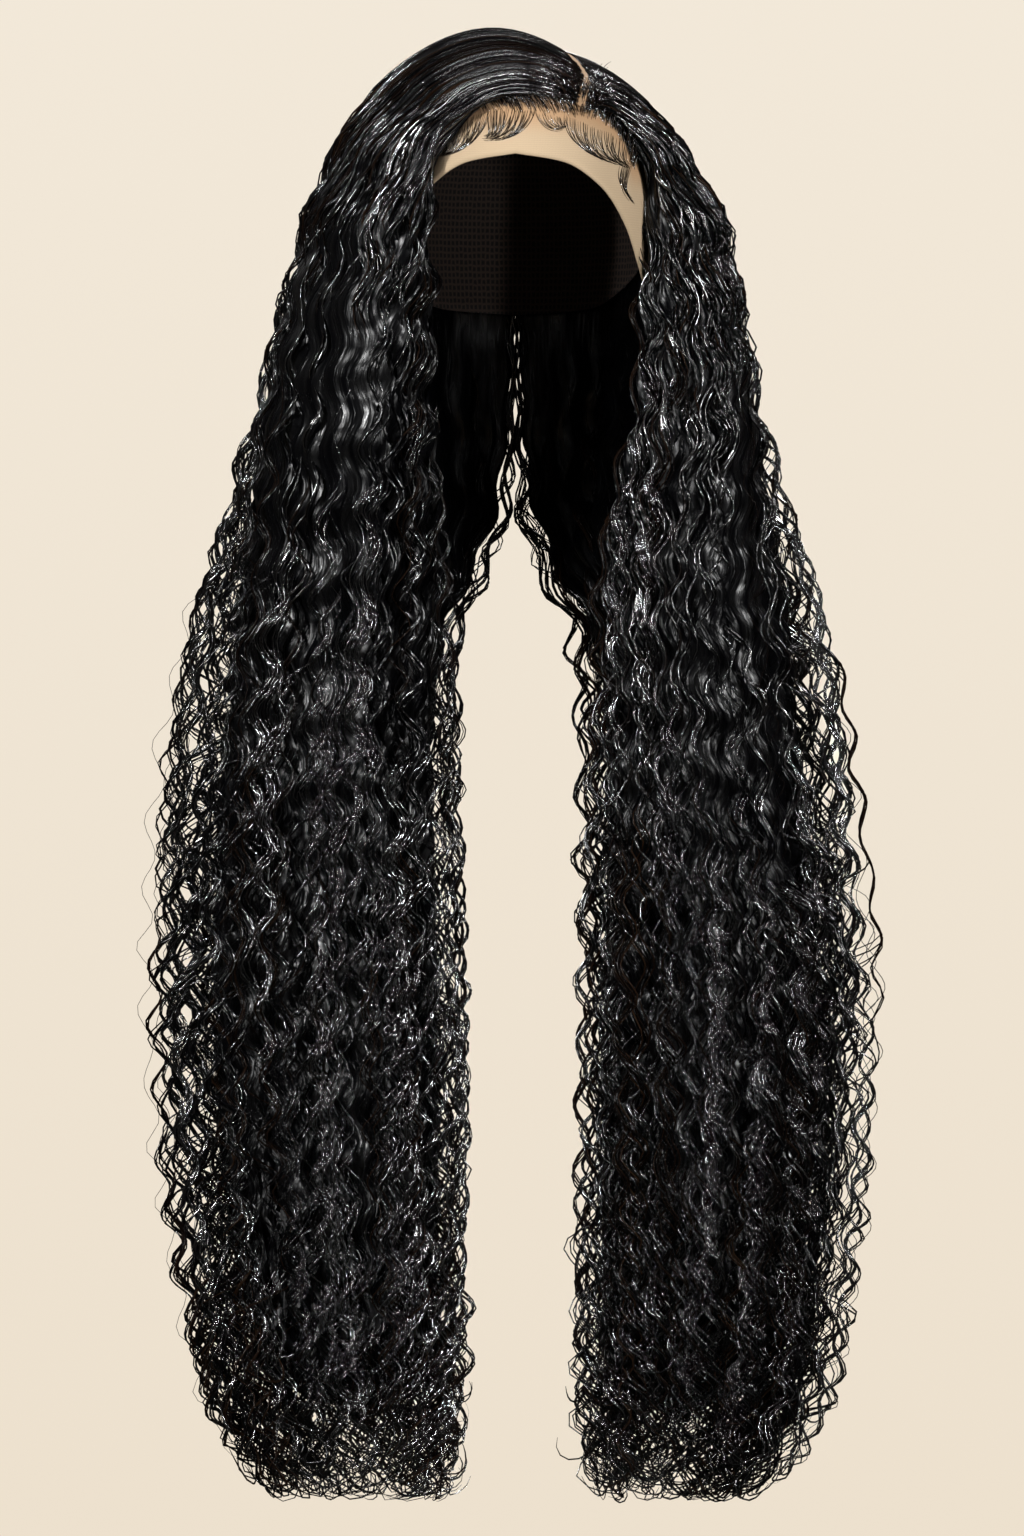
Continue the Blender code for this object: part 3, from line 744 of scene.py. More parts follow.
@dataclass(frozen=True)
class DeepWaveHair(DyedHair):
    """The dyed hair as wide locks, set in deep waves by steam, with grooves between its strands.

    Locks differ in gloss, as some lie smooth and others are roughened where strands cross. The
    grooves are drawn 1.6 mm apart, coarser than hairs, so that they show.
    """

    roughness: tuple[float, float] = (0.10, 0.20)
    gloss: float = 0.9
    gloss_range: tuple[float, float] = (0.1, 1.6)
    gloss_noise: tuple[float, float] = (0.36, 0.64)
    strand_pitch: float = 0.0016
    strand_run: float = 0.030
    lock_pitch: float = 0.0034
    lock_run: float = 0.060
    lock_share: float = 0.55
    groove: float = 0.00022

    def material(self) -> bpy.types.Material:
        """Strand lines run along V: noise that changes every strand across and slowly along."""
        material, tree, shader, _ = self.coloured()
        uv = add_node(tree, "ShaderNodeUVMap", {"uv_map": "strand"})
        fine = self._lines(tree, uv, self.strand_pitch, self.strand_run)
        coarse = self._lines(tree, uv, self.lock_pitch, self.lock_run)
        both = add_node(tree, "ShaderNodeMath", {"operation": "MULTIPLY_ADD", 1: self.lock_share},
                        {0: coarse.outputs["Fac"], 2: fine.outputs["Fac"]})
        bump = add_node(tree, "ShaderNodeBump", {"Strength": 0.9, "Distance": self.groove},
                        {"Height": both.outputs[0]})
        rough = add_node(tree, "ShaderNodeMapRange",
                         {"To Min": self.roughness[0], "To Max": self.roughness[1]},
                         {"Value": fine.outputs["Fac"]})
        low, high = self.gloss_noise
        least, most = self.gloss_range
        shine = add_node(tree, "ShaderNodeMapRange",
                         {"From Min": low, "From Max": high, "To Min": least * self.gloss,
                          "To Max": most * self.gloss}, {"Value": coarse.outputs["Fac"]})
        tree.links.new(rough.outputs[0], shader.inputs["Roughness"])
        tree.links.new(bump.outputs["Normal"], shader.inputs["Normal"])
        tree.links.new(shine.outputs[0], shader.inputs["Specular IOR Level"])
        return material

    @staticmethod
    def _lines(tree: bpy.types.NodeTree, uv: bpy.types.Node, pitch: float,
               run: float) -> bpy.types.Node:
        """Noise whose grains are pitch wide across the strands and run long along them."""
        scale = add_node(tree, "ShaderNodeMapping", {"Scale": (1 / pitch, 1 / run, 1.0)},
                         {"Vector": uv.outputs["UV"]})
        return add_node(tree, "ShaderNodeTexNoise",
                        {"noise_dimensions": "2D", "Scale": 1.0, "Detail": 2.0, "Roughness": 0.5},
                        {"Vector": scale.outputs["Vector"]})


@dataclass(frozen=True)
class BareStrand(DyedHair):
    """The same dyed hair as single strands, too fine for grooves.

    Its gloss falls from the strands of a low tone to those of a high one, because a conditioned
    strand glints and a dry one beside it doesn't.
    """

    # The warm brown of high-tone strands is partly their own tone and partly painted light passing
    # through.
    warm: str = "#20150d"
    roughness: float = 0.13
    gloss: float = 1.15
    gloss_range: tuple[float, float] = (2.4, 0.04)
    gloss_tones: tuple[float, float] = (0.12, 0.62)

    def material(self) -> bpy.types.Material:
        """Colour and gloss by the strand's tone."""
        material, tree, shader, tone = self.coloured()
        glossy, dull = self.gloss_tones
        most, least = self.gloss_range
        shine = add_node(tree, "ShaderNodeMapRange",
                         {"From Min": glossy, "From Max": dull, "To Min": most * self.gloss,
                          "To Max": least * self.gloss}, {"Value": tone.outputs["Fac"]})
        tree.links.new(shine.outputs[0], shader.inputs["Specular IOR Level"])
        shader.inputs["Roughness"].default_value = self.roughness
        return material


@dataclass
class CurtainCore:
    """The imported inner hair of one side, which no light comes through."""

    form: HairForm
    wave: DeepWave
    columns: int = 144
    row_step: float = 0.0062
    locks: int = 43
    apart: float = 1.1
    relief: float = 0.0036
    end: float = 0.664
    taper: float = 0.070
    ragged: float = 0.030
    girth: float = 0.56
    warps: tuple = ((0.9, 4), (0.5, 9))
    faster: float = 2.0
    faster_over: tuple[float, float] = (0.0, 0.6)
    ridge_power: float = 0.8
    clears_cap_over: tuple[float, float] = (0.046, 0.080)
    relief_over: tuple[float, float] = (-0.11, 0.05)
    wave_share: float = 0.7
    tone: float = 0.3
    seed: int = 3

    def build(self, material: bpy.types.Material) -> bpy.types.Object:
        """Make the closed body: one loop for each step down, closed at the root and the end.

        The surface is the form sunk to its core. Its columns swing with the wave, and ridges of
        uneven width stand out as the absolute sine of a warped walk. Towards the end each loop
        is drawn to its middle by one minus the cube root of one minus the cube of the way, which
        gives a blunt round end.

        Args:
            material: the hair's finish.

        Returns:
            The body.
        """
        form, wave = self.form, self.wave
        rng = np.random.default_rng(self.seed)
        walk = np.arange(self.columns) / self.columns
        start = form.root_travel(walk)
        dome = int(-start.mean() / self.row_step)
        hang = int(self.end / self.row_step)
        over = np.linspace(0.0, 1.0, dome + 1)[:, None]
        uneven = 1 + self.ragged * rng.uniform(-1.0, 1.0, self.columns)[None, :]
        down = np.linspace(0.0, 1.0, hang + 1)[1:, None]
        travel = np.concatenate([
            start[None, :] * (1 - over),
            self.end * down * (1 + (uneven - 1) * down**2),
        ])
        strength = wave.strength(travel) * form.calm(walk[None, :], travel)
        warped = self.locks * walk
        for size, turns in self.warps:
            warped = warped + size * np.sin(FULL_TURN * turns * walk)
        lock = np.floor(warped).astype(int) % self.locks
        own = rng.normal(0.0, self.apart, self.locks)[lock]
        faster = rng.normal(0.0, self.faster, self.locks)[lock]
        phase = wave.phase(travel) + (wave.lag(walk) + own)[None, :]
        phase = phase + faster[None, :] * smooth(travel, *self.faster_over)
        point, across, outward = form.place(walk[None, :], travel, 1.0)
        ridge = np.abs(np.sin(math.pi * warped))[None, :] ** self.ridge_power
        on_cap = form.over_cap[(walk * form.walk_steps).astype(int)][None, :]
        free = np.where(on_cap, smooth(travel, *self.clears_cap_over), 1.0)
        relief = self.relief * smooth(travel, *self.relief_over) * (ridge - 1.0)
        lift = (wave.lift * self.wave_share * strength * np.cos(phase) + relief) * free
        swing = wave.swing * self.wave_share * strength * np.sin(phase) * free
        point = point + across * swing[..., None] + outward * lift[..., None]
        last = np.clip((travel - (self.end - self.taper)) / self.taper, 0.0, 1.0)[..., None]
        last[-1] = 1.0
        middle = point.mean(axis=1, keepdims=True)
        draw = 1 - (1 - last**3) ** (1 / 3)
        point = point + (middle - point) * draw * LEVEL
        point[-1] = point[-1].mean(axis=0)
        rows = len(travel)
        quads = round_faces(np.arange(rows * self.columns).reshape(rows, self.columns))
        u = np.arange(self.columns + 1) / self.columns * self.girth
        uvs = corner_uvs(u[None, :], np.concatenate([travel, travel[:, :1]], axis=1))
        if form.side is Side.LEFT:
            quads, uvs = quads[:, ::-1], uvs[:, ::-1]
        parts = MeshParts()
        parts.add(point, quads, uvs, np.full(travel.shape, self.tone))
        side = form.side.word
        made = parts.make(f"{side}_hair_body", material)
        weld(made)
        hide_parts(f"{side}_front_hair", f"{side}_side_hair", f"{side}_back_hair")
        return made


# The seeds of the left and the right core.
CORE_SEEDS = (3, 8)


class Lay(Enum):
    """Where a group's strands begin and end."""

    COMBED = "from the root line, then into the body"
    SURFACE = "out of the body and back into it"
    TIP = "out of the body, down to a curled tip"


@dataclass
class StrandGroup:
    """Strands of one lay over one stretch of the walk.

    Each strand is the form's path at its own walk and depth, plus the wave. Strands come in
    clumps that share one wave and lie beside each other in it. What makes hair uneven is drawn
    for each clump, and less for each strand: where it starts, how fast its wave turns, its size,
    and slow sines along it, each given as size and turn for each metre. wander shifts the wave,
    swell changes its size, and fan, after a constant, spreads the clump's strands.
    """

    name: str
    form: HairForm
    wave: DeepWave
    lay: Lay
    walk: tuple[float, float]
    clumps: int
    strands: int
    length: tuple[float, float]
    starts: tuple[float, float]
    half_wide: tuple[float, float] = (0.00035, 0.00060)
    flatness: float = 1.0
    sides: int = 3
    steps_a_wave: float = 7.6
    sunk: tuple[float, float] = (0.0, 0.6)
    spacing: float = 0.0012
    stray: float = 0.0005
    apart: float = 0.8
    dive: float = 0.028
    hook: tuple[float, float] = (0.0050, 0.0090)
    hook_turn: tuple[float, float] = (1.6, 4.4)
    lowest: float = 0.0
    bigger: float = 1.0
    thinnest: float = 0.3
    thins_over: float = 0.08
    buried: float = 1.3
    start_spread: float = 0.012
    root_spread: float = 0.003
    tip_spread: float = 0.034
    drift: float = 0.010
    drift_over: float = 0.4
    rates: tuple[float, float] = (0.95, 1.05)
    own_phase: float = 0.16
    wander: tuple[float, float] = (0.55, 41.0)
    sizes: tuple[float, float] = (0.7, 1.25)
    own_size: float = 0.08
    swell: tuple[float, float] = (0.25, 57.0)
    fan: tuple[float, float, float] = (0.8, 0.45, 30.0)
    stray_above: float = 0.6
    curl_calms: float = 0.8
    curl_calms_by: float = 1.2
    tip_swell: float = 0.35
    tip_swells_over: float = 0.20
    own_tone: float = 0.35
    own_u: float = 0.0010
    seed: int = 1

    def build(self, material: bpy.types.Material) -> bpy.types.Object:
        """Make the group's closed tubes.

        Args:
            material: their finish.

        Returns:
            The piece.
        """
        rng = np.random.default_rng(self.seed)
        form, wave, total = self.form, self.wave, self.clumps * self.strands
        clump = np.repeat(np.arange(self.clumps), self.strands)
        rank = np.tile(np.arange(self.strands) - (self.strands - 1) / 2, self.clumps)
        even = (np.arange(self.clumps) + rng.uniform(0.0, 1.0, self.clumps)) / self.clumps
        middle = self.walk[0] + (self.walk[1] - self.walk[0]) * even
        walk = middle[clump]
        root = form.root_travel(walk)
        start = rng.uniform(*self.starts, self.clumps)[clump]
        start = start + rng.uniform(-self.start_spread, self.start_spread, total)
        end = start + rng.uniform(*self.length, total)
        if self.lay is Lay.COMBED:
            start = root + rng.uniform(0.0, self.root_spread, total)
            end = start + rng.uniform(*self.length, total)
        if self.lay is Lay.TIP:
            end = form.hang - np.abs(rng.normal(0.0, self.tip_spread, total))
        start = np.maximum(start, root + 0.001)
        end = np.minimum(end, form.hang - 0.002 - self.lowest)
        radius = rng.uniform(*self.hook, total)[:, None]
        around = rng.uniform(*self.hook_turn, total)[:, None]
        if self.lay is Lay.TIP:
            end = end - radius[:, 0] + (radius * around)[:, 0]
        mean_wave = (wave.first_length + wave.last_length) / 2
        steps = max(8, int(np.mean(end - start) / mean_wave * self.steps_a_wave))
        t = np.linspace(0.0, 1.0, steps)[None, :]
        travel = start[:, None] + (end - start)[:, None] * t

        def by_clump(drawn: Array) -> Array:
            """A value that was drawn for each clump, for each of its strands."""
            return drawn[clump][:, None]

        sunk = np.repeat(by_clump(rng.uniform(*self.sunk, self.clumps)), steps, axis=1)
        hidden = np.zeros_like(travel)
        if self.lay is not Lay.COMBED:
            hidden = 1 - smooth(travel - start[:, None], 0.0, self.dive)
        if self.lay is not Lay.TIP:
            hidden = np.maximum(hidden, 1 - smooth(end[:, None] - travel, 0.0, self.dive))
        sunk = sunk + (self.buried - sunk) * hidden
        drift = by_clump(rng.normal(0.0, self.drift, self.clumps))
        drift = drift * (travel - start[:, None]) / self.drift_over

        strength = wave.strength(travel) * form.calm(walk[:, None], travel)
        rate = by_clump(rng.uniform(*self.rates, self.clumps))
        lag = by_clump(wave.lag(middle) + rng.normal(0.0, self.apart, self.clumps))
        phase = wave.phase(travel) * rate + lag + rng.normal(0.0, self.own_phase, total)[:, None]
        begin = rng.uniform(0.0, FULL_TURN, (2, self.clumps))[:, clump, None]
        phase = phase + self.wander[0] * np.sin(travel * self.wander[1] + begin[0])
        size = self.bigger * by_clump(rng.uniform(*self.sizes, self.clumps))
        size = size * (1 + self.swell[0] * np.sin(travel * self.swell[1] + begin[1]))
        size = size * (1 + rng.normal(0.0, self.own_size, total)[:, None])
        narrow, spread, turn = self.fan
        fan_begin = by_clump(rng.uniform(0.0, FULL_TURN, self.clumps))
        fan = narrow + spread * np.sin(travel * turn + fan_begin)
        stray = rng.normal(0.0, self.stray, (2, total, 1))
        aside = rank[:, None] * self.spacing * fan + stray[0]
        above = stray[1] * self.stray_above
        down = travel
        if self.lay is Lay.TIP:
            bend = np.clip(around - (end[:, None] - travel) / radius, 0.0, None)
            way = np.sign(np.sin(phase[:, -1:] - around))
            curled = end[:, None] - radius * around + radius * np.sin(bend)
            down = np.where(bend > 0, curled, travel)
            size = size * (1 - self.curl_calms * smooth(bend, 0.0, self.curl_calms_by))
            at_tips = smooth(travel, form.hang - self.tip_swells_over, form.hang)
            size = size * (1 + self.tip_swell * at_tips)
            aside = aside + way * radius * (1 - np.cos(bend))
        point, across, outward = form.place(walk[:, None] + drift, down, sunk)
        swing = wave.swing * size * strength * np.sin(phase) + aside
        lift = wave.lift * size * strength * np.cos(phase) + above
        paths = point + across * swing[..., None] + outward * lift[..., None]
        near_end = smooth(np.minimum(t, 1 - t), 0.0, self.thins_over)
        taper = self.thinnest + (1 - self.thinnest) * near_end
        wide = rng.uniform(*self.half_wide, total)[:, None] * taper
        own, shared = rng.uniform(0.0, 1.0, (2, total)), rng.uniform(0.0, 1.0, (2, self.clumps))
        tone = self.own_tone * own[0] + (1 - self.own_tone) * shared[0][clump]
        first_u = self.own_u * own[1] + shared[1][clump]
        parts = MeshParts()
        tubes(parts, paths, outward, wide, wide * self.flatness, self.sides, tone, first_u)
        return parts.make(self.name, material)


# The stretches of the walk that carry strands: their names, where they begin and end, and how
# many clumps they have as a share of the front's.
STRETCHES = (("front", (-0.10, 0.20), 1.0), ("side", (0.20, 0.43), 0.95),
             ("back", (0.43, BACK_ENDS), 0.70), ("inside", (BACK_ENDS, INSIDE_ENDS), 0.30))


def strand_groups(form: HairForm, wave: DeepWave) -> list[tuple[StrandGroup, bool]]:
    """The strands of one side, and whether each group is wide enough for the grooved finish.

    The stretches take their seeds from their place in the list, so that no two groups share one.

    Args:
        form: the side's hair.
        wave: its wave.

    Returns:
        Each group with its answer.
    """
    side = form.side.word
    groups = []
    for place, walk, share in STRETCHES:
        seed = 10 * len(groups) + (0 if form.side is Side.LEFT else 500)
        top = 0.04 if place == "inside" else -0.10
        groups.append((StrandGroup(
            f"{side}_{place}_locks", form, wave, Lay.SURFACE, walk, clumps=int(22 * share),
            strands=2, length=(0.20, 0.36), starts=(top, 0.36), half_wide=(0.0008, 0.0014),
            flatness=0.7, sunk=(0.2, 0.8), spacing=0.0034, stray=0.0006, lowest=0.06,
            thinnest=0.08, seed=seed + 1), True))
        groups.append((StrandGroup(
            f"{side}_{place}_surface_strands", form, wave, Lay.SURFACE, walk,
            clumps=int(25 * share), strands=7, length=(0.16, 0.30), starts=(top, 0.46),
            half_wide=(0.0003, 0.0006), sunk=(0.0, 0.5), lowest=0.03, seed=seed + 2), False))
        groups.append((StrandGroup(
            f"{side}_{place}_tip_strands", form, wave, Lay.TIP, walk, clumps=int(18 * share),
            strands=3, length=(0.3, 0.5), starts=(0.26, 0.50), half_wide=(0.0004, 0.0007),
            sunk=(0.0, 0.9), spacing=0.0020, stray=0.0012, apart=1.2, seed=seed + 3), False))
        groups.append((StrandGroup(
            f"{side}_{place}_curled_tips", form, wave, Lay.TIP, walk, clumps=int(35 * share),
            strands=4, length=(0.3, 0.5), starts=(0.50, 0.62), half_wide=(0.0004, 0.0007),
            sunk=(0.0, 1.5), spacing=0.0024, stray=0.0016, apart=1.5, steps_a_wave=8.0,
            hook=(0.0060, 0.0110), hook_turn=(1.8, 4.6), seed=seed + 4), False))
    groups.append((StrandGroup(
        f"{side}_combed_strands", form, wave, Lay.COMBED, (0.0, OUTSIDE_ENDS), clumps=190,
        strands=2, length=(0.13, 0.24), starts=(0.0, 0.0), half_wide=(0.0004, 0.0008),
        flatness=0.9, steps_a_wave=5.0, sunk=(0.0, 0.7), spacing=0.0010, stray=0.0003,
        seed=seed + 7), False))
    groups.append((StrandGroup(
        f"{side}_flyaways", form, wave, Lay.TIP, (-0.1, BACK_ENDS), clumps=16, strands=1,
        length=(0.3, 0.5), starts=(0.05, 0.45), half_wide=(0.00018, 0.00028),
        sunk=(-0.05, 0.1), stray=0.0012, apart=1.5, steps_a_wave=9.0, bigger=1.15,
        seed=seed + 8), False))
    return groups


# The cap's lower edge, from the middle of the forehead round to the nape: the turn from the
# front in degrees, and the drop as a share of the cap's.
EDGE_TURNS = (0, 22, 40, 54, 66, 76, 90, 104, 120, 145, 180)
EDGE_DROPS = (0.44, 0.47, 0.56, 0.70, 0.84, 0.90, 0.82, 0.80, 0.88, 0.98, 1.00)

# The hairline on the lace, from the left temple to the right one, in metres. The feather line is
# where the first roots stand, and the dense line where no lace shows between them.
FEATHER_X = (-0.0441, -0.0367, -0.0243, -0.0085, 0.0079, 0.0333, 0.0458, 0.0554, 0.0627, 0.0650)
FEATHER_Z = (
    -0.0611, -0.0452, -0.0424, -0.0413, -0.0419, -0.0435, -0.0452, -0.0509, -0.0611, -0.0718)
DENSE_X = (-0.0450, -0.0401, -0.0215, -0.0034, 0.0153, 0.0311, 0.0458, 0.0520, 0.0605, 0.0650)
DENSE_Z = (
    -0.0480, -0.0351, -0.0306, -0.0306, -0.0289, -0.0306, -0.0339, -0.0435, -0.0537, -0.0656)
PARTING_X = 0.036


@dataclass(frozen=True)
class SheerLace:
    """Swiss lace: fine knotted polyester net, dyed tan, which the hair is tied into one by one.

    Its holes are under 1 mm across, and they are drawn 1.1 mm apart so that they show. Towards
    the hairline the tied knots and roots darken it.
    """

    name: str
    tan: str = "#b19b7e"
    rooted: str = "#a98662"
    dense: str = "#15100d"
    pitch: float = 0.0011
    uneven: float = 0.35
    thread_edge: tuple[float, float] = (0.02, 0.22)
    hole_shade: float = 0.86
    relief: float = 0.0002
    roughness: float = 0.85

    def material(self) -> bpy.types.Material:
        """Colour by how rooted the lace is, with the net's cell edges lighter and raised."""
        material, tree, shader = new_material(self.name)
        tone = add_node(tree, "ShaderNodeAttribute", {"attribute_name": "tone"})
        ramp = add_node(tree, "ShaderNodeValToRGB", None, {"Fac": tone.outputs["Fac"]})
        ramp.color_ramp.elements[0].color = linear(self.tan)
        ramp.color_ramp.elements[1].color = linear(self.dense)
        middle = ramp.color_ramp.elements.new(0.5)
        middle.color = linear(self.rooted)
        uv = add_node(tree, "ShaderNodeUVMap", {"uv_map": "strand"})
        net = add_node(tree, "ShaderNodeTexVoronoi",
                       {"feature": "DISTANCE_TO_EDGE", "voronoi_dimensions": "2D",
                        "Scale": 1 / self.pitch, "Randomness": self.uneven},
                       {"Vector": uv.outputs["UV"]})
        inner, outer = self.thread_edge
        thread = add_node(tree, "ShaderNodeMapRange",
                          {"From Min": inner, "From Max": outer, "To Min": 1.0,
                           "To Max": self.hole_shade}, {"Value": net.outputs["Distance"]})
        shaded = add_node(tree, "ShaderNodeMix", {"data_type": "RGBA", "blend_type": "MULTIPLY"})
        shaded.inputs[0].default_value = 1.0
        tree.links.new(ramp.outputs["Color"], shaded.inputs[6])
        tree.links.new(thread.outputs[0], shaded.inputs[7])
        bump = add_node(tree, "ShaderNodeBump", {"Strength": 0.35, "Distance": self.relief},
                        {"Height": thread.outputs[0]})
        tree.links.new(shaded.outputs[2], shader.inputs["Base Color"])
        tree.links.new(bump.outputs["Normal"], shader.inputs["Normal"])
        shader.inputs["Roughness"].default_value = self.roughness
        return material


@dataclass(frozen=True)
class StretchNet:
    """The cap's warp-knitted nylon net, dyed dark brown-black, which stretches over the head.

    Its diamond holes are about 1.6 mm across, and they are drawn 3 mm apart so that they show
    as a dull grid inside the cap.
    """

    name: str
    yarn: str = "#3a2d26"
    hole: str = "#0d0a09"
    pitch: float = 0.0030
    uneven: float = 0.2
    yarn_edge: tuple[float, float] = (0.10, 0.28)
    relief: float = 0.0004
    roughness: float = 0.9

    def material(self) -> bpy.types.Material:
        """Yarn colour on the cell edges and shade in the holes, with the yarn raised."""
        material, tree, shader = new_material(self.name)
        uv = add_node(tree, "ShaderNodeUVMap", {"uv_map": "strand"})
        net = add_node(tree, "ShaderNodeTexVoronoi",
                       {"feature": "DISTANCE_TO_EDGE", "voronoi_dimensions": "2D",
                        "Scale": 1 / self.pitch, "Randomness": self.uneven},
                       {"Vector": uv.outputs["UV"]})
        ramp = add_node(tree, "ShaderNodeValToRGB", None, {"Fac": net.outputs["Distance"]})
        ramp.color_ramp.elements[0].position = self.yarn_edge[0]
        ramp.color_ramp.elements[0].color = linear(self.yarn)
        ramp.color_ramp.elements[1].position = self.yarn_edge[1]
        ramp.color_ramp.elements[1].color = linear(self.hole)
        bump = add_node(tree, "ShaderNodeBump", {"Strength": 0.6, "Distance": self.relief},
                        {"Height": ramp.outputs["Color"]})
        tree.links.new(ramp.outputs["Color"], shader.inputs["Base Color"])
        tree.links.new(bump.outputs["Normal"], shader.inputs["Normal"])
        shader.inputs["Roughness"].default_value = self.roughness
        return material


@dataclass
class CapHalf:
    """A half of the cap: a thin sheet over the head from the crown down to the lower edge."""

    name: str
    wall: float
    turns: tuple[float, float]
    shift: float
    flat: tuple[float, float]
    cut_area: float
    slot: str
    head: HeadForm = field(default_factory=HeadForm)
    columns: int = 72
    rows: int = 40
    feather_shade: tuple[float, float] = (-0.016, 0.002)
    dense_shade: tuple[float, float] = (-0.005, 0.002)
    temples: tuple[float, float] = (0.053, 0.060)
    temples_middle: float = 0.010
    temples_height: tuple[float, float] = (-0.080, -0.060)

    def tone(self, point: Array) -> Array:
        """How rooted the lace is: half at the feather line, full above the dense line.

        Outside the hairline's ends, at the temples, it counts as full.
        """
        x, z = point[..., 0], point[..., 2]
        above_feather = smooth(z - np.interp(x, FEATHER_X, FEATHER_Z), *self.feather_shade)
        above_dense = smooth(z - np.interp(x, DENSE_X, DENSE_Z), *self.dense_shade)
        beyond = smooth(np.abs(x - self.temples_middle), *self.temples)
        beyond = beyond * smooth(z, *self.temples_height)
        return np.maximum(0.5 * above_feather + 0.5 * above_dense, beyond)

    def build(self, material: bpy.types.Material) -> bpy.types.Object:
        """Make the sheet: head points at the wall's height outside and on the head inside.

        Args:
            material: its finish.

        Returns:
            The piece.
        """
        turn = np.radians(np.linspace(*self.turns, self.columns + 1))[None, :]
        from_front = np.abs((np.degrees(turn) + 270) % 360 - 180)
        drop = self.head.cap_drop * eased(from_front, EDGE_TURNS, EDGE_DROPS)
        share = np.linspace(0.0, 1.0, self.rows + 1)[:, None]
        tilt = share * self.head.tilt_of_drop(drop)
        offset = np.array([0.0, self.shift, 0.0])
        outer = self.head.point(turn, tilt, self.wall) + offset
        inner = self.head.point(turn, tilt, 0.0) + offset
        count = outer.size // 3
        out = np.arange(count).reshape(outer.shape[:2])
        faces = wall_faces(out, out + count, True)
        points = np.concatenate([outer.reshape(-1, 3), inner.reshape(-1, 3)])
        radius = (self.head.width + self.head.depth) / 4
        flat = np.stack(np.broadcast_arrays(turn * radius, tilt * radius), axis=-1).reshape(-1, 2)
        uvs = np.concatenate([flat, flat])[faces]
        parts = MeshParts()
        parts.add(points, faces, uvs, self.tone(points))
        made = parts.make(self.name, material)
        weld(made)
        return made


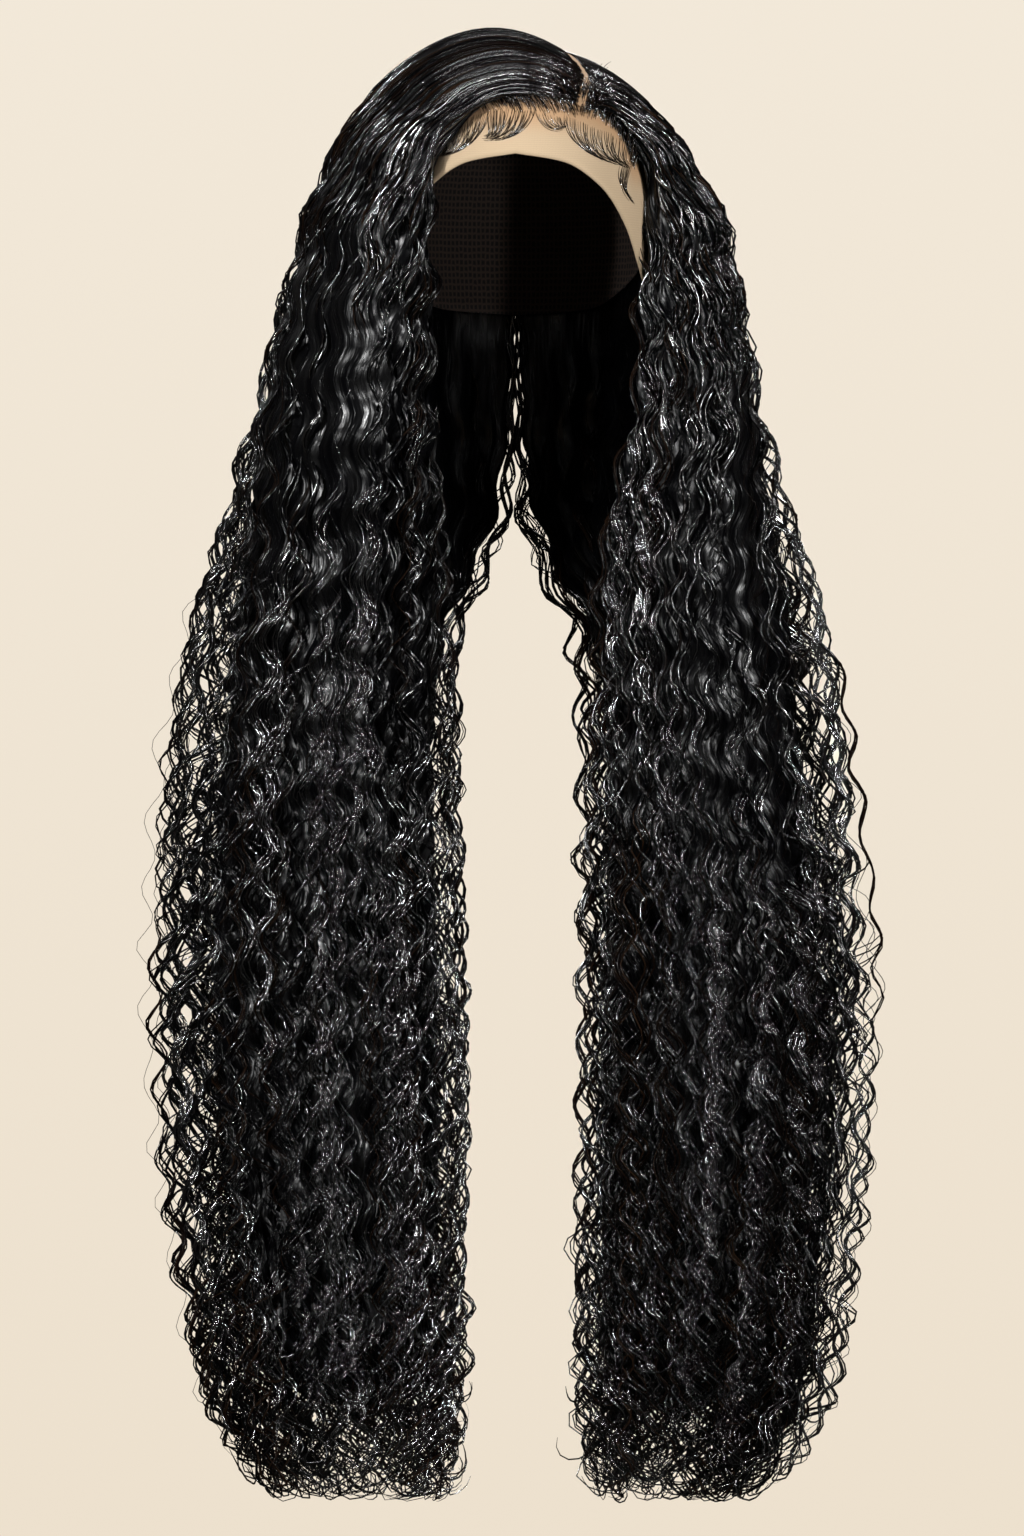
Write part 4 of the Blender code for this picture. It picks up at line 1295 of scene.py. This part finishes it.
@dataclass
class Hairline:
    """The roots tied into the lace along the hairline, and the baby hairs."""

    head: HeadForm
    seat: float = 0.0012
    root_half: float = 0.00022
    baby_half: float = 0.00017
    end_half: float = 0.35
    spans: tuple[float, float, float] = (-0.046, -0.010, 0.067)
    leans: tuple[float, float, float] = (0.35, 1.0, 0.7)
    right_lean: float = 0.55
    crowds_front: float = 1.6
    off_line: float = 0.0008
    short_by_parting: float = 0.75
    short_within: float = 0.008
    joins_back: float = 0.5
    ends_short: float = 0.24
    pull: float = 0.40
    seed: int = 21

    def _strokes(self, name: str, paths: Array, half: Array, rng: np.random.Generator,
                 material: bpy.types.Material) -> bpy.types.Object:
        """Hairs that stand off the lace, thin at both ends: half times a power of a sine."""
        t = np.linspace(0.0, 1.0, paths.shape[1])[None, :]
        belly = np.sin(math.pi * np.clip(t, 0.03, 0.97)) ** 0.6
        wide = half[:, None] * (self.end_half + (1 - self.end_half) * belly)
        facing = unit(paths - np.array([0.0, 0.0, -self.head.crown]))
        return thin_hairs(name, paths, facing, wide, rng, material)

    def roots(self, name: str, count: int, behind: tuple[float, float],
              reach: tuple[float, float], lean: tuple[float, float], rise: float,
              material: bpy.types.Material) -> bpy.types.Object:
        """Roots along the hairline that rise over the front edge of the combed hair.

        Each goes up by its reach and, with the square of the way, aside: to the left on the left
        of the parting and to the right on the right of it. Those by the parting stay short, so
        that its lace shows, and those by the left temple lean least.

        Args:
            name: the piece's name.
            count: how many.
            behind: where they stand, zero on the feather line and one on the dense line.
            reach: the least and the greatest way up.
            lean: the way aside as a share of the reach, least and greatest.
            rise: how far off the lace they end.
            material: their finish.

        Returns:
            The piece.
        """
        rng = np.random.default_rng(self.seed + count)
        x = rng.uniform(self.spans[0], self.spans[-1], count)
        side = np.where(x > PARTING_X, self.right_lean, -1.0)
        drawn = rng.uniform(0.0, 1.0, count) ** self.crowds_front
        back = behind[0] + (behind[1] - behind[0]) * drawn
        feather, dense = np.interp(x, FEATHER_X, FEATHER_Z), np.interp(x, DENSE_X, DENSE_Z)
        z = feather + (dense - feather) * back + rng.normal(0.0, self.off_line, count)
        by_parting = np.exp(-(((x - PARTING_X) / self.short_within) ** 2))
        up = rng.uniform(*reach, count) * (1 - self.short_by_parting * by_parting)
        aside = rng.uniform(*lean, count) * side * np.interp(x, self.spans, self.leans)
        t = np.linspace(0.0, 1.0, 8)[None, :]
        px = x[:, None] + (up * aside)[:, None] * (0.25 * t + 0.75 * t * t)
        pz = z[:, None] + up[:, None] * (t - 0.30 * t * t)
        paths = self.head.front(px, pz, self.seat + rise * smooth(t, 0.0, 0.8))
        return self._strokes(name, paths, np.full(count, self.root_half), rng, material)

    def baby_hairs(self, material: bpy.types.Material) -> bpy.types.Object:
        """Baby hairs laid in swoops: nested curves from the hairline to a swoop's lower edge.

        The lower edge is a cubic curve. Each hair is one too: it leaves the root line the way
        that the edge does, and ends along the edge's tangent. Those rooted by the edge end at
        any place on its second half, and the others near where it closes, or a little short.
        """
        rng = np.random.default_rng(self.seed + 1)
        paths, half = [], []
        t = np.linspace(0.0, 1.0, 15)[None, :, None]
        for count, roots, *rest in SWOOPS:
            far, near, guide_a, guide_b, close = (np.array(p) for p in (*roots, *rest))
            share = (np.arange(count)[:, None] + rng.uniform(0.2, 0.8, (count, 1))) / count
            root = far * (1 - share) + near * share + rng.normal(0.0, 0.0005, (count, 2))
            joins = 1 - self.joins_back * share * rng.uniform(0.0, 1.0, (count, 1))
            short = self.ends_short * (1 - share) * rng.uniform(0.0, 1.0, (count, 1))
            ahead = 1 - joins
            tip = cubic(joins, near, guide_a, guide_b, close)
            along = ahead**2 * (guide_a - near) + 2 * joins * ahead * (guide_b - guide_a)
            along = unit(along + joins**2 * (close - guide_b))
            tip = tip * (1 - short) + root * short + rng.normal(0.0, 0.0004, (count, 2))
            pull = self.pull * np.linalg.norm(tip - root, axis=1, keepdims=True)
            first = root + unit(guide_a - near) * pull
            second = tip - along * pull
            a, b, c, d = (p[:, None, :] for p in (root, first, second, tip))
            paths.append(cubic(t, a, b, c, d))
            half.append(np.full(count, self.baby_half))
        flat = np.concatenate(paths)
        rise = self.seat + 0.0003 * np.sin(np.linspace(0.0, math.pi, 15))[None, :]
        solid = self.head.front(flat[..., 0], flat[..., 1], rise)
        return self._strokes("baby_hairs", solid, np.concatenate(half), rng, material)


# The swoops of baby hair: how many, the two ends of the root line, the two guides of the lower
# edge, and where the swoop closes, as X and Z in metres.
SWOOPS = (
    (44, ((-0.0450, -0.0520), (-0.0130, -0.0415)), (-0.0160, -0.0540), (-0.0260, -0.0660),
     (-0.0440, -0.0667)),
    (40, ((-0.0170, -0.0416), (0.0110, -0.0419)), (0.0090, -0.0520), (-0.0040, -0.0610),
     (-0.0186, -0.0582)),
    (16, ((0.0288, -0.0464), (0.0102, -0.0430)), (0.0120, -0.0530), (0.0240, -0.0560),
     (0.0290, -0.0500)),
    (46, ((0.0638, -0.0582), (0.0270, -0.0441)), (0.0260, -0.0560), (0.0400, -0.0700),
     (0.0650, -0.0724)),
    (16, ((0.0655, -0.0710), (0.0590, -0.0720)), (0.0570, -0.0790), (0.0600, -0.0880),
     (0.0667, -0.0927)),
)


@dataclass
class Parting:
    """The lace that shows along the parting, and the roots that stand on both sides of it."""

    half_width: float = 0.0044
    low: float = 0.0016
    high: float = 0.0026
    lace_to: float = 0.76
    roots_a_side: int = 190
    roots_to: float = 0.36
    reach: tuple[float, float] = (0.008, 0.014)
    behind: tuple[float, float] = (0.0004, 0.0018)
    root_half: float = 0.0003
    seed: int = 31

    def lace(self, form: HairForm, material: bpy.types.Material) -> bpy.types.Object:
        """A closed strip on the cap along the middle of the parting, as far as it is open."""
        head = form.head
        share = np.linspace(0.0, self.lace_to, 60)
        root_x = column(FLOWS[form.side], FLOW_NAMES, "root_x", share)
        root_y = column(FLOWS[form.side], FLOW_NAMES, "root_y", share)
        line = unit(np.stack([np.gradient(root_x), np.gradient(root_y)], axis=-1))
        across = np.linspace(-1.0, 1.0, 5)
        side = across * self.half_width / head.chart_radius
        x = root_x[:, None] + side[None, :] * line[:, 1:]
        y = root_y[:, None] - side[None, :] * line[:, :1]
        turn, tilt = np.arctan2(y, x), np.hypot(x, y) * math.pi / 2
        top, bottom = head.point(turn, tilt, self.high), head.point(turn, tilt, self.low)
        count = top.size // 3
        out = np.arange(count).reshape(top.shape[:2]).T
        faces = wall_faces(out, out + count, False)
        points = np.concatenate([top.reshape(-1, 3), bottom.reshape(-1, 3)])
        flat = np.stack([turn, tilt], axis=-1).reshape(-1, 2) * head.depth / 2
        tone = np.broadcast_to(0.35 + 0.5 * np.abs(across) ** 2, turn.shape).reshape(-1)
        parts = MeshParts()
        parts.add(points, faces, np.concatenate([flat, flat])[faces], np.concatenate([tone, tone]))
        return parts.make("parting_lace", material)

    def roots(self, form: HairForm, material: bpy.types.Material) -> bpy.types.Object:
        """Roots of one side: from the parting's lace up into the combed hair."""
        rng = np.random.default_rng(self.seed + form.side.value)
        count = self.roots_a_side
        walk = rng.uniform(0.0, self.roots_to, count) * OUTSIDE_ENDS
        start = form.root_travel(walk)
        t = np.linspace(0.0, 1.0, 6)[None, :]
        reach = rng.uniform(*self.reach, count)
        travel = start[:, None] + reach[:, None] * t
        point, _, outward = form.place(walk[:, None], travel, 0.2)
        down = unit(point[:, 1:2] - point[:, :1])
        back = rng.uniform(*self.behind, count)[:, None, None]
        low = form.root_body + form.seat - self.high - 0.0002
        sunk = low * (1 - smooth(t, 0.0, 0.7))[..., None]
        paths = point - down * back * (1 - t[..., None]) - outward * sunk
        wide = np.full((count, 1), self.root_half) * (0.5 + 0.5 * np.sqrt(t))
        return thin_hairs(f"{form.side.word}_parting_roots", paths, outward, wide, rng, material)


# The softboxes: name, place, width and height, and power in watts. The tall narrow ones at the
# front give the waves their short glints, and the two behind the edges a rim.
SOFTBOXES = (
    ("key_softbox", (-1.9, -1.9, 0.9), (0.10, 1.2), 84.0),
    ("fill_softbox", (2.0, -1.8, 0.4), (0.10, 1.2), 62.0),
    ("top_softbox", (0.1, -1.2, 1.6), (1.9, 0.10), 17.0),
    ("low_left_softbox", (-1.5, -2.1, -1.0), (0.08, 0.6), 18.0),
    ("low_right_softbox", (1.3, -2.2, -1.1), (0.08, 0.6), 14.0),
    ("back_left_softbox", (-1.2, 2.0, 1.8), (0.3, 1.2), 50.0),
    ("back_right_softbox", (1.2, 2.2, 1.6), (0.3, 1.2), 50.0),
)


@dataclass
class Studio:
    """A plain pale floor, a cream surround, softboxes and the camera, in metres.

    The floor and the surround show bright and light the wig little, as a wall and a floor do that
    stand far off, because their light would lie as a pale veil on the black hair.
    """

    middle: tuple[float, float, float] = (-0.002, 0.0, -0.409)
    seen_height: float = 0.868
    distance: float = 7.5
    floor: float = -2.0
    floor_radius: float = 4.5
    # The surround's colours from below to above; its paler top is painted light, the studio light
    # falling off down the wall.
    cream: tuple[str, str, str] = ("#e9dac4", "#efe4d3", "#f7efe2")
    floor_paint: str = "#1c1a17"
    floor_glow: float = 0.02
    surround: float = 0.04
    seen: float = 1.0

    def disc(self) -> None:
        """The floor: rings of points round the middle, far enough down to stay out of view."""
        turn = np.linspace(0.0, FULL_TURN, 97)[None, :-1]
        radius = np.linspace(0.02, self.floor_radius, 6)[:, None]
        grid = np.stack(np.broadcast_arrays(
            radius * np.cos(turn), radius * np.sin(turn), self.floor), axis=-1)
        number = np.arange(grid.size // 3).reshape(grid.shape[:2])
        faces = round_faces(number)[:, [0, 3, 2, 1]]
        mesh = bpy.data.meshes.new("floor")
        mesh.from_pydata(
            grid.reshape(-1, 3).tolist(), [], [*faces.tolist(), number[0].tolist()])
        material, tree, shader = new_material("painted_floor")
        ray = add_node(tree, "ShaderNodeLightPath")
        glow = add_node(tree, "ShaderNodeMapRange",
                        {"To Min": self.floor_glow, "To Max": self.seen},
                        {"Value": ray.outputs["Is Camera Ray"]})
        tree.links.new(glow.outputs[0], shader.inputs["Emission Strength"])
        shader.inputs["Emission Color"].default_value = linear(self.cream[0])
        shader.inputs["Base Color"].default_value = linear(self.floor_paint)
        shader.inputs["Roughness"].default_value = 0.9
        mesh.materials.append(material)
        made = bpy.data.objects.new("floor", mesh)
        bpy.context.scene.collection.objects.link(made)

    def softbox(self, name: str, place: tuple, size: tuple, power: float) -> None:
        """A soft light, wide by high, that faces the middle of the wig."""
        data = bpy.data.lights.new(name, "AREA")
        data.shape = "RECTANGLE"
        data.size, data.size_y, data.energy = *size, power
        made = bpy.data.objects.new(name, data)
        made.location = place
        way = np.array(self.middle) - np.array(place)
        yaw = math.atan2(way[1], way[0]) - math.pi / 2
        pitch = math.atan2(way[2], math.hypot(way[0], way[1])) + math.pi / 2
        made.rotation_euler = (pitch, 0.0, yaw)
        bpy.context.scene.collection.objects.link(made)

    def world(self) -> bpy.types.World:
        """A cream surround, paler upwards."""
        made = bpy.data.worlds.new("studio")
        made.use_nodes = True
        tree = made.node_tree
        back = tree.nodes["Background"]
        way = add_node(tree, "ShaderNodeTexCoord")
        parts = add_node(tree, "ShaderNodeSeparateXYZ", None, {"Vector": way.outputs["Generated"]})
        height = add_node(tree, "ShaderNodeMapRange", {"From Min": -0.16, "From Max": 0.16},
                          {"Value": parts.outputs["Z"]})
        # Painted light: the surround grows paler upwards, as light falls off down a wall.
        ramp = add_node(tree, "ShaderNodeValToRGB", None, {"Fac": height.outputs[0]})
        low, middle, high = self.cream
        ramp.color_ramp.elements[0].color = linear(low)
        ramp.color_ramp.elements[1].color = linear(high)
        ramp.color_ramp.elements.new(0.5).color = linear(middle)
        ray = add_node(tree, "ShaderNodeLightPath")
        strength = add_node(tree, "ShaderNodeMapRange",
                            {"To Min": self.surround, "To Max": self.seen},
                            {"Value": ray.outputs["Is Camera Ray"]})
        tree.links.new(ramp.outputs["Color"], back.inputs["Color"])
        tree.links.new(strength.outputs[0], back.inputs["Strength"])
        return made

    def camera(self) -> bpy.types.Object:
        """A level camera whose frame is as high at the head as the photograph's."""
        data = bpy.data.cameras.new("camera")
        data.sensor_fit = "VERTICAL"
        data.sensor_height = data.sensor_width = 36.0
        data.lens = data.sensor_height * self.distance / self.seen_height
        made = bpy.data.objects.new("camera", data)
        made.location = (self.middle[0], self.middle[1] - self.distance, self.middle[2])
        made.rotation_euler = (math.pi / 2, 0.0, 0.0)
        bpy.context.scene.collection.objects.link(made)
        return made

    def build(self) -> None:
        """Make the floor, the surround, the lights and the camera."""
        self.disc()
        for name, place, size, power in SOFTBOXES:
            self.softbox(name, place, size, power)
        bpy.context.scene.world = self.world()
        bpy.context.scene.view_settings.view_transform = "Standard"
        bpy.context.scene.camera = self.camera()


def cap(lace: bpy.types.Material, net: bpy.types.Material) -> None:
    """Make the two sheets of the cap, in place of its packed walls."""
    front = CapHalf("lace_front_sheet", wall=0.0010, turns=(-180.0, 0.0), shift=-0.00015,
                    flat=(0.30, 0.13), cut_area=0.024, slot="lace")
    front_sheet = front.build(lace)
    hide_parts("lace_front")
    back = CapHalf("cap_net_sheet", wall=0.0015, turns=(0.0, 180.0), shift=0.00015,
                   flat=(0.30, 0.21), cut_area=0.035, slot="cap_net")
    back_sheet = back.build(net)
    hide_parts("cap")


def main() -> None:
    """Build the studio and the wig."""
    logging.basicConfig(level=logging.INFO, format="%(message)s")
    Studio().build()
    hair = DeepWaveHair("deep_wave_hair").material()
    packed = DeepWaveHair("packed_deep_wave_hair", roughness=(0.18, 0.36), gloss=0.26,
                          strand_pitch=0.0026, lock_pitch=0.0060, groove=0.00070).material()
    strand = BareStrand("bare_hair_strand").material()
    lace = SheerLace("swiss_lace").material()
    cap(lace, StretchNet("stretch_cap_net").material())

    wave = DeepWave()
    forms = {side: HairForm(side) for side in Side}
    for form, seed in zip(forms.values(), CORE_SEEDS):
        CurtainCore(form, wave, seed=seed).build(packed)
        for group, grooved in strand_groups(form, wave):
            group.build(hair if grooved else strand)
    line = Hairline(HeadForm())
    line.roots("hairline_roots", count=640, behind=(-0.05, 1.0), reach=(0.010, 0.018),
               lean=(0.7, 1.6), rise=0.0040, material=strand)
    line.roots("hairline_sweep", count=620, behind=(0.5, 1.6), reach=(0.012, 0.019),
               lean=(0.6, 1.5), rise=0.0058, material=strand)
    line.baby_hairs(strand)
    parting = Parting()
    parting.lace(forms[Side.LEFT], lace)
    for form in forms.values():
        parting.roots(form, strand)


if __name__ == "__main__":
    main()
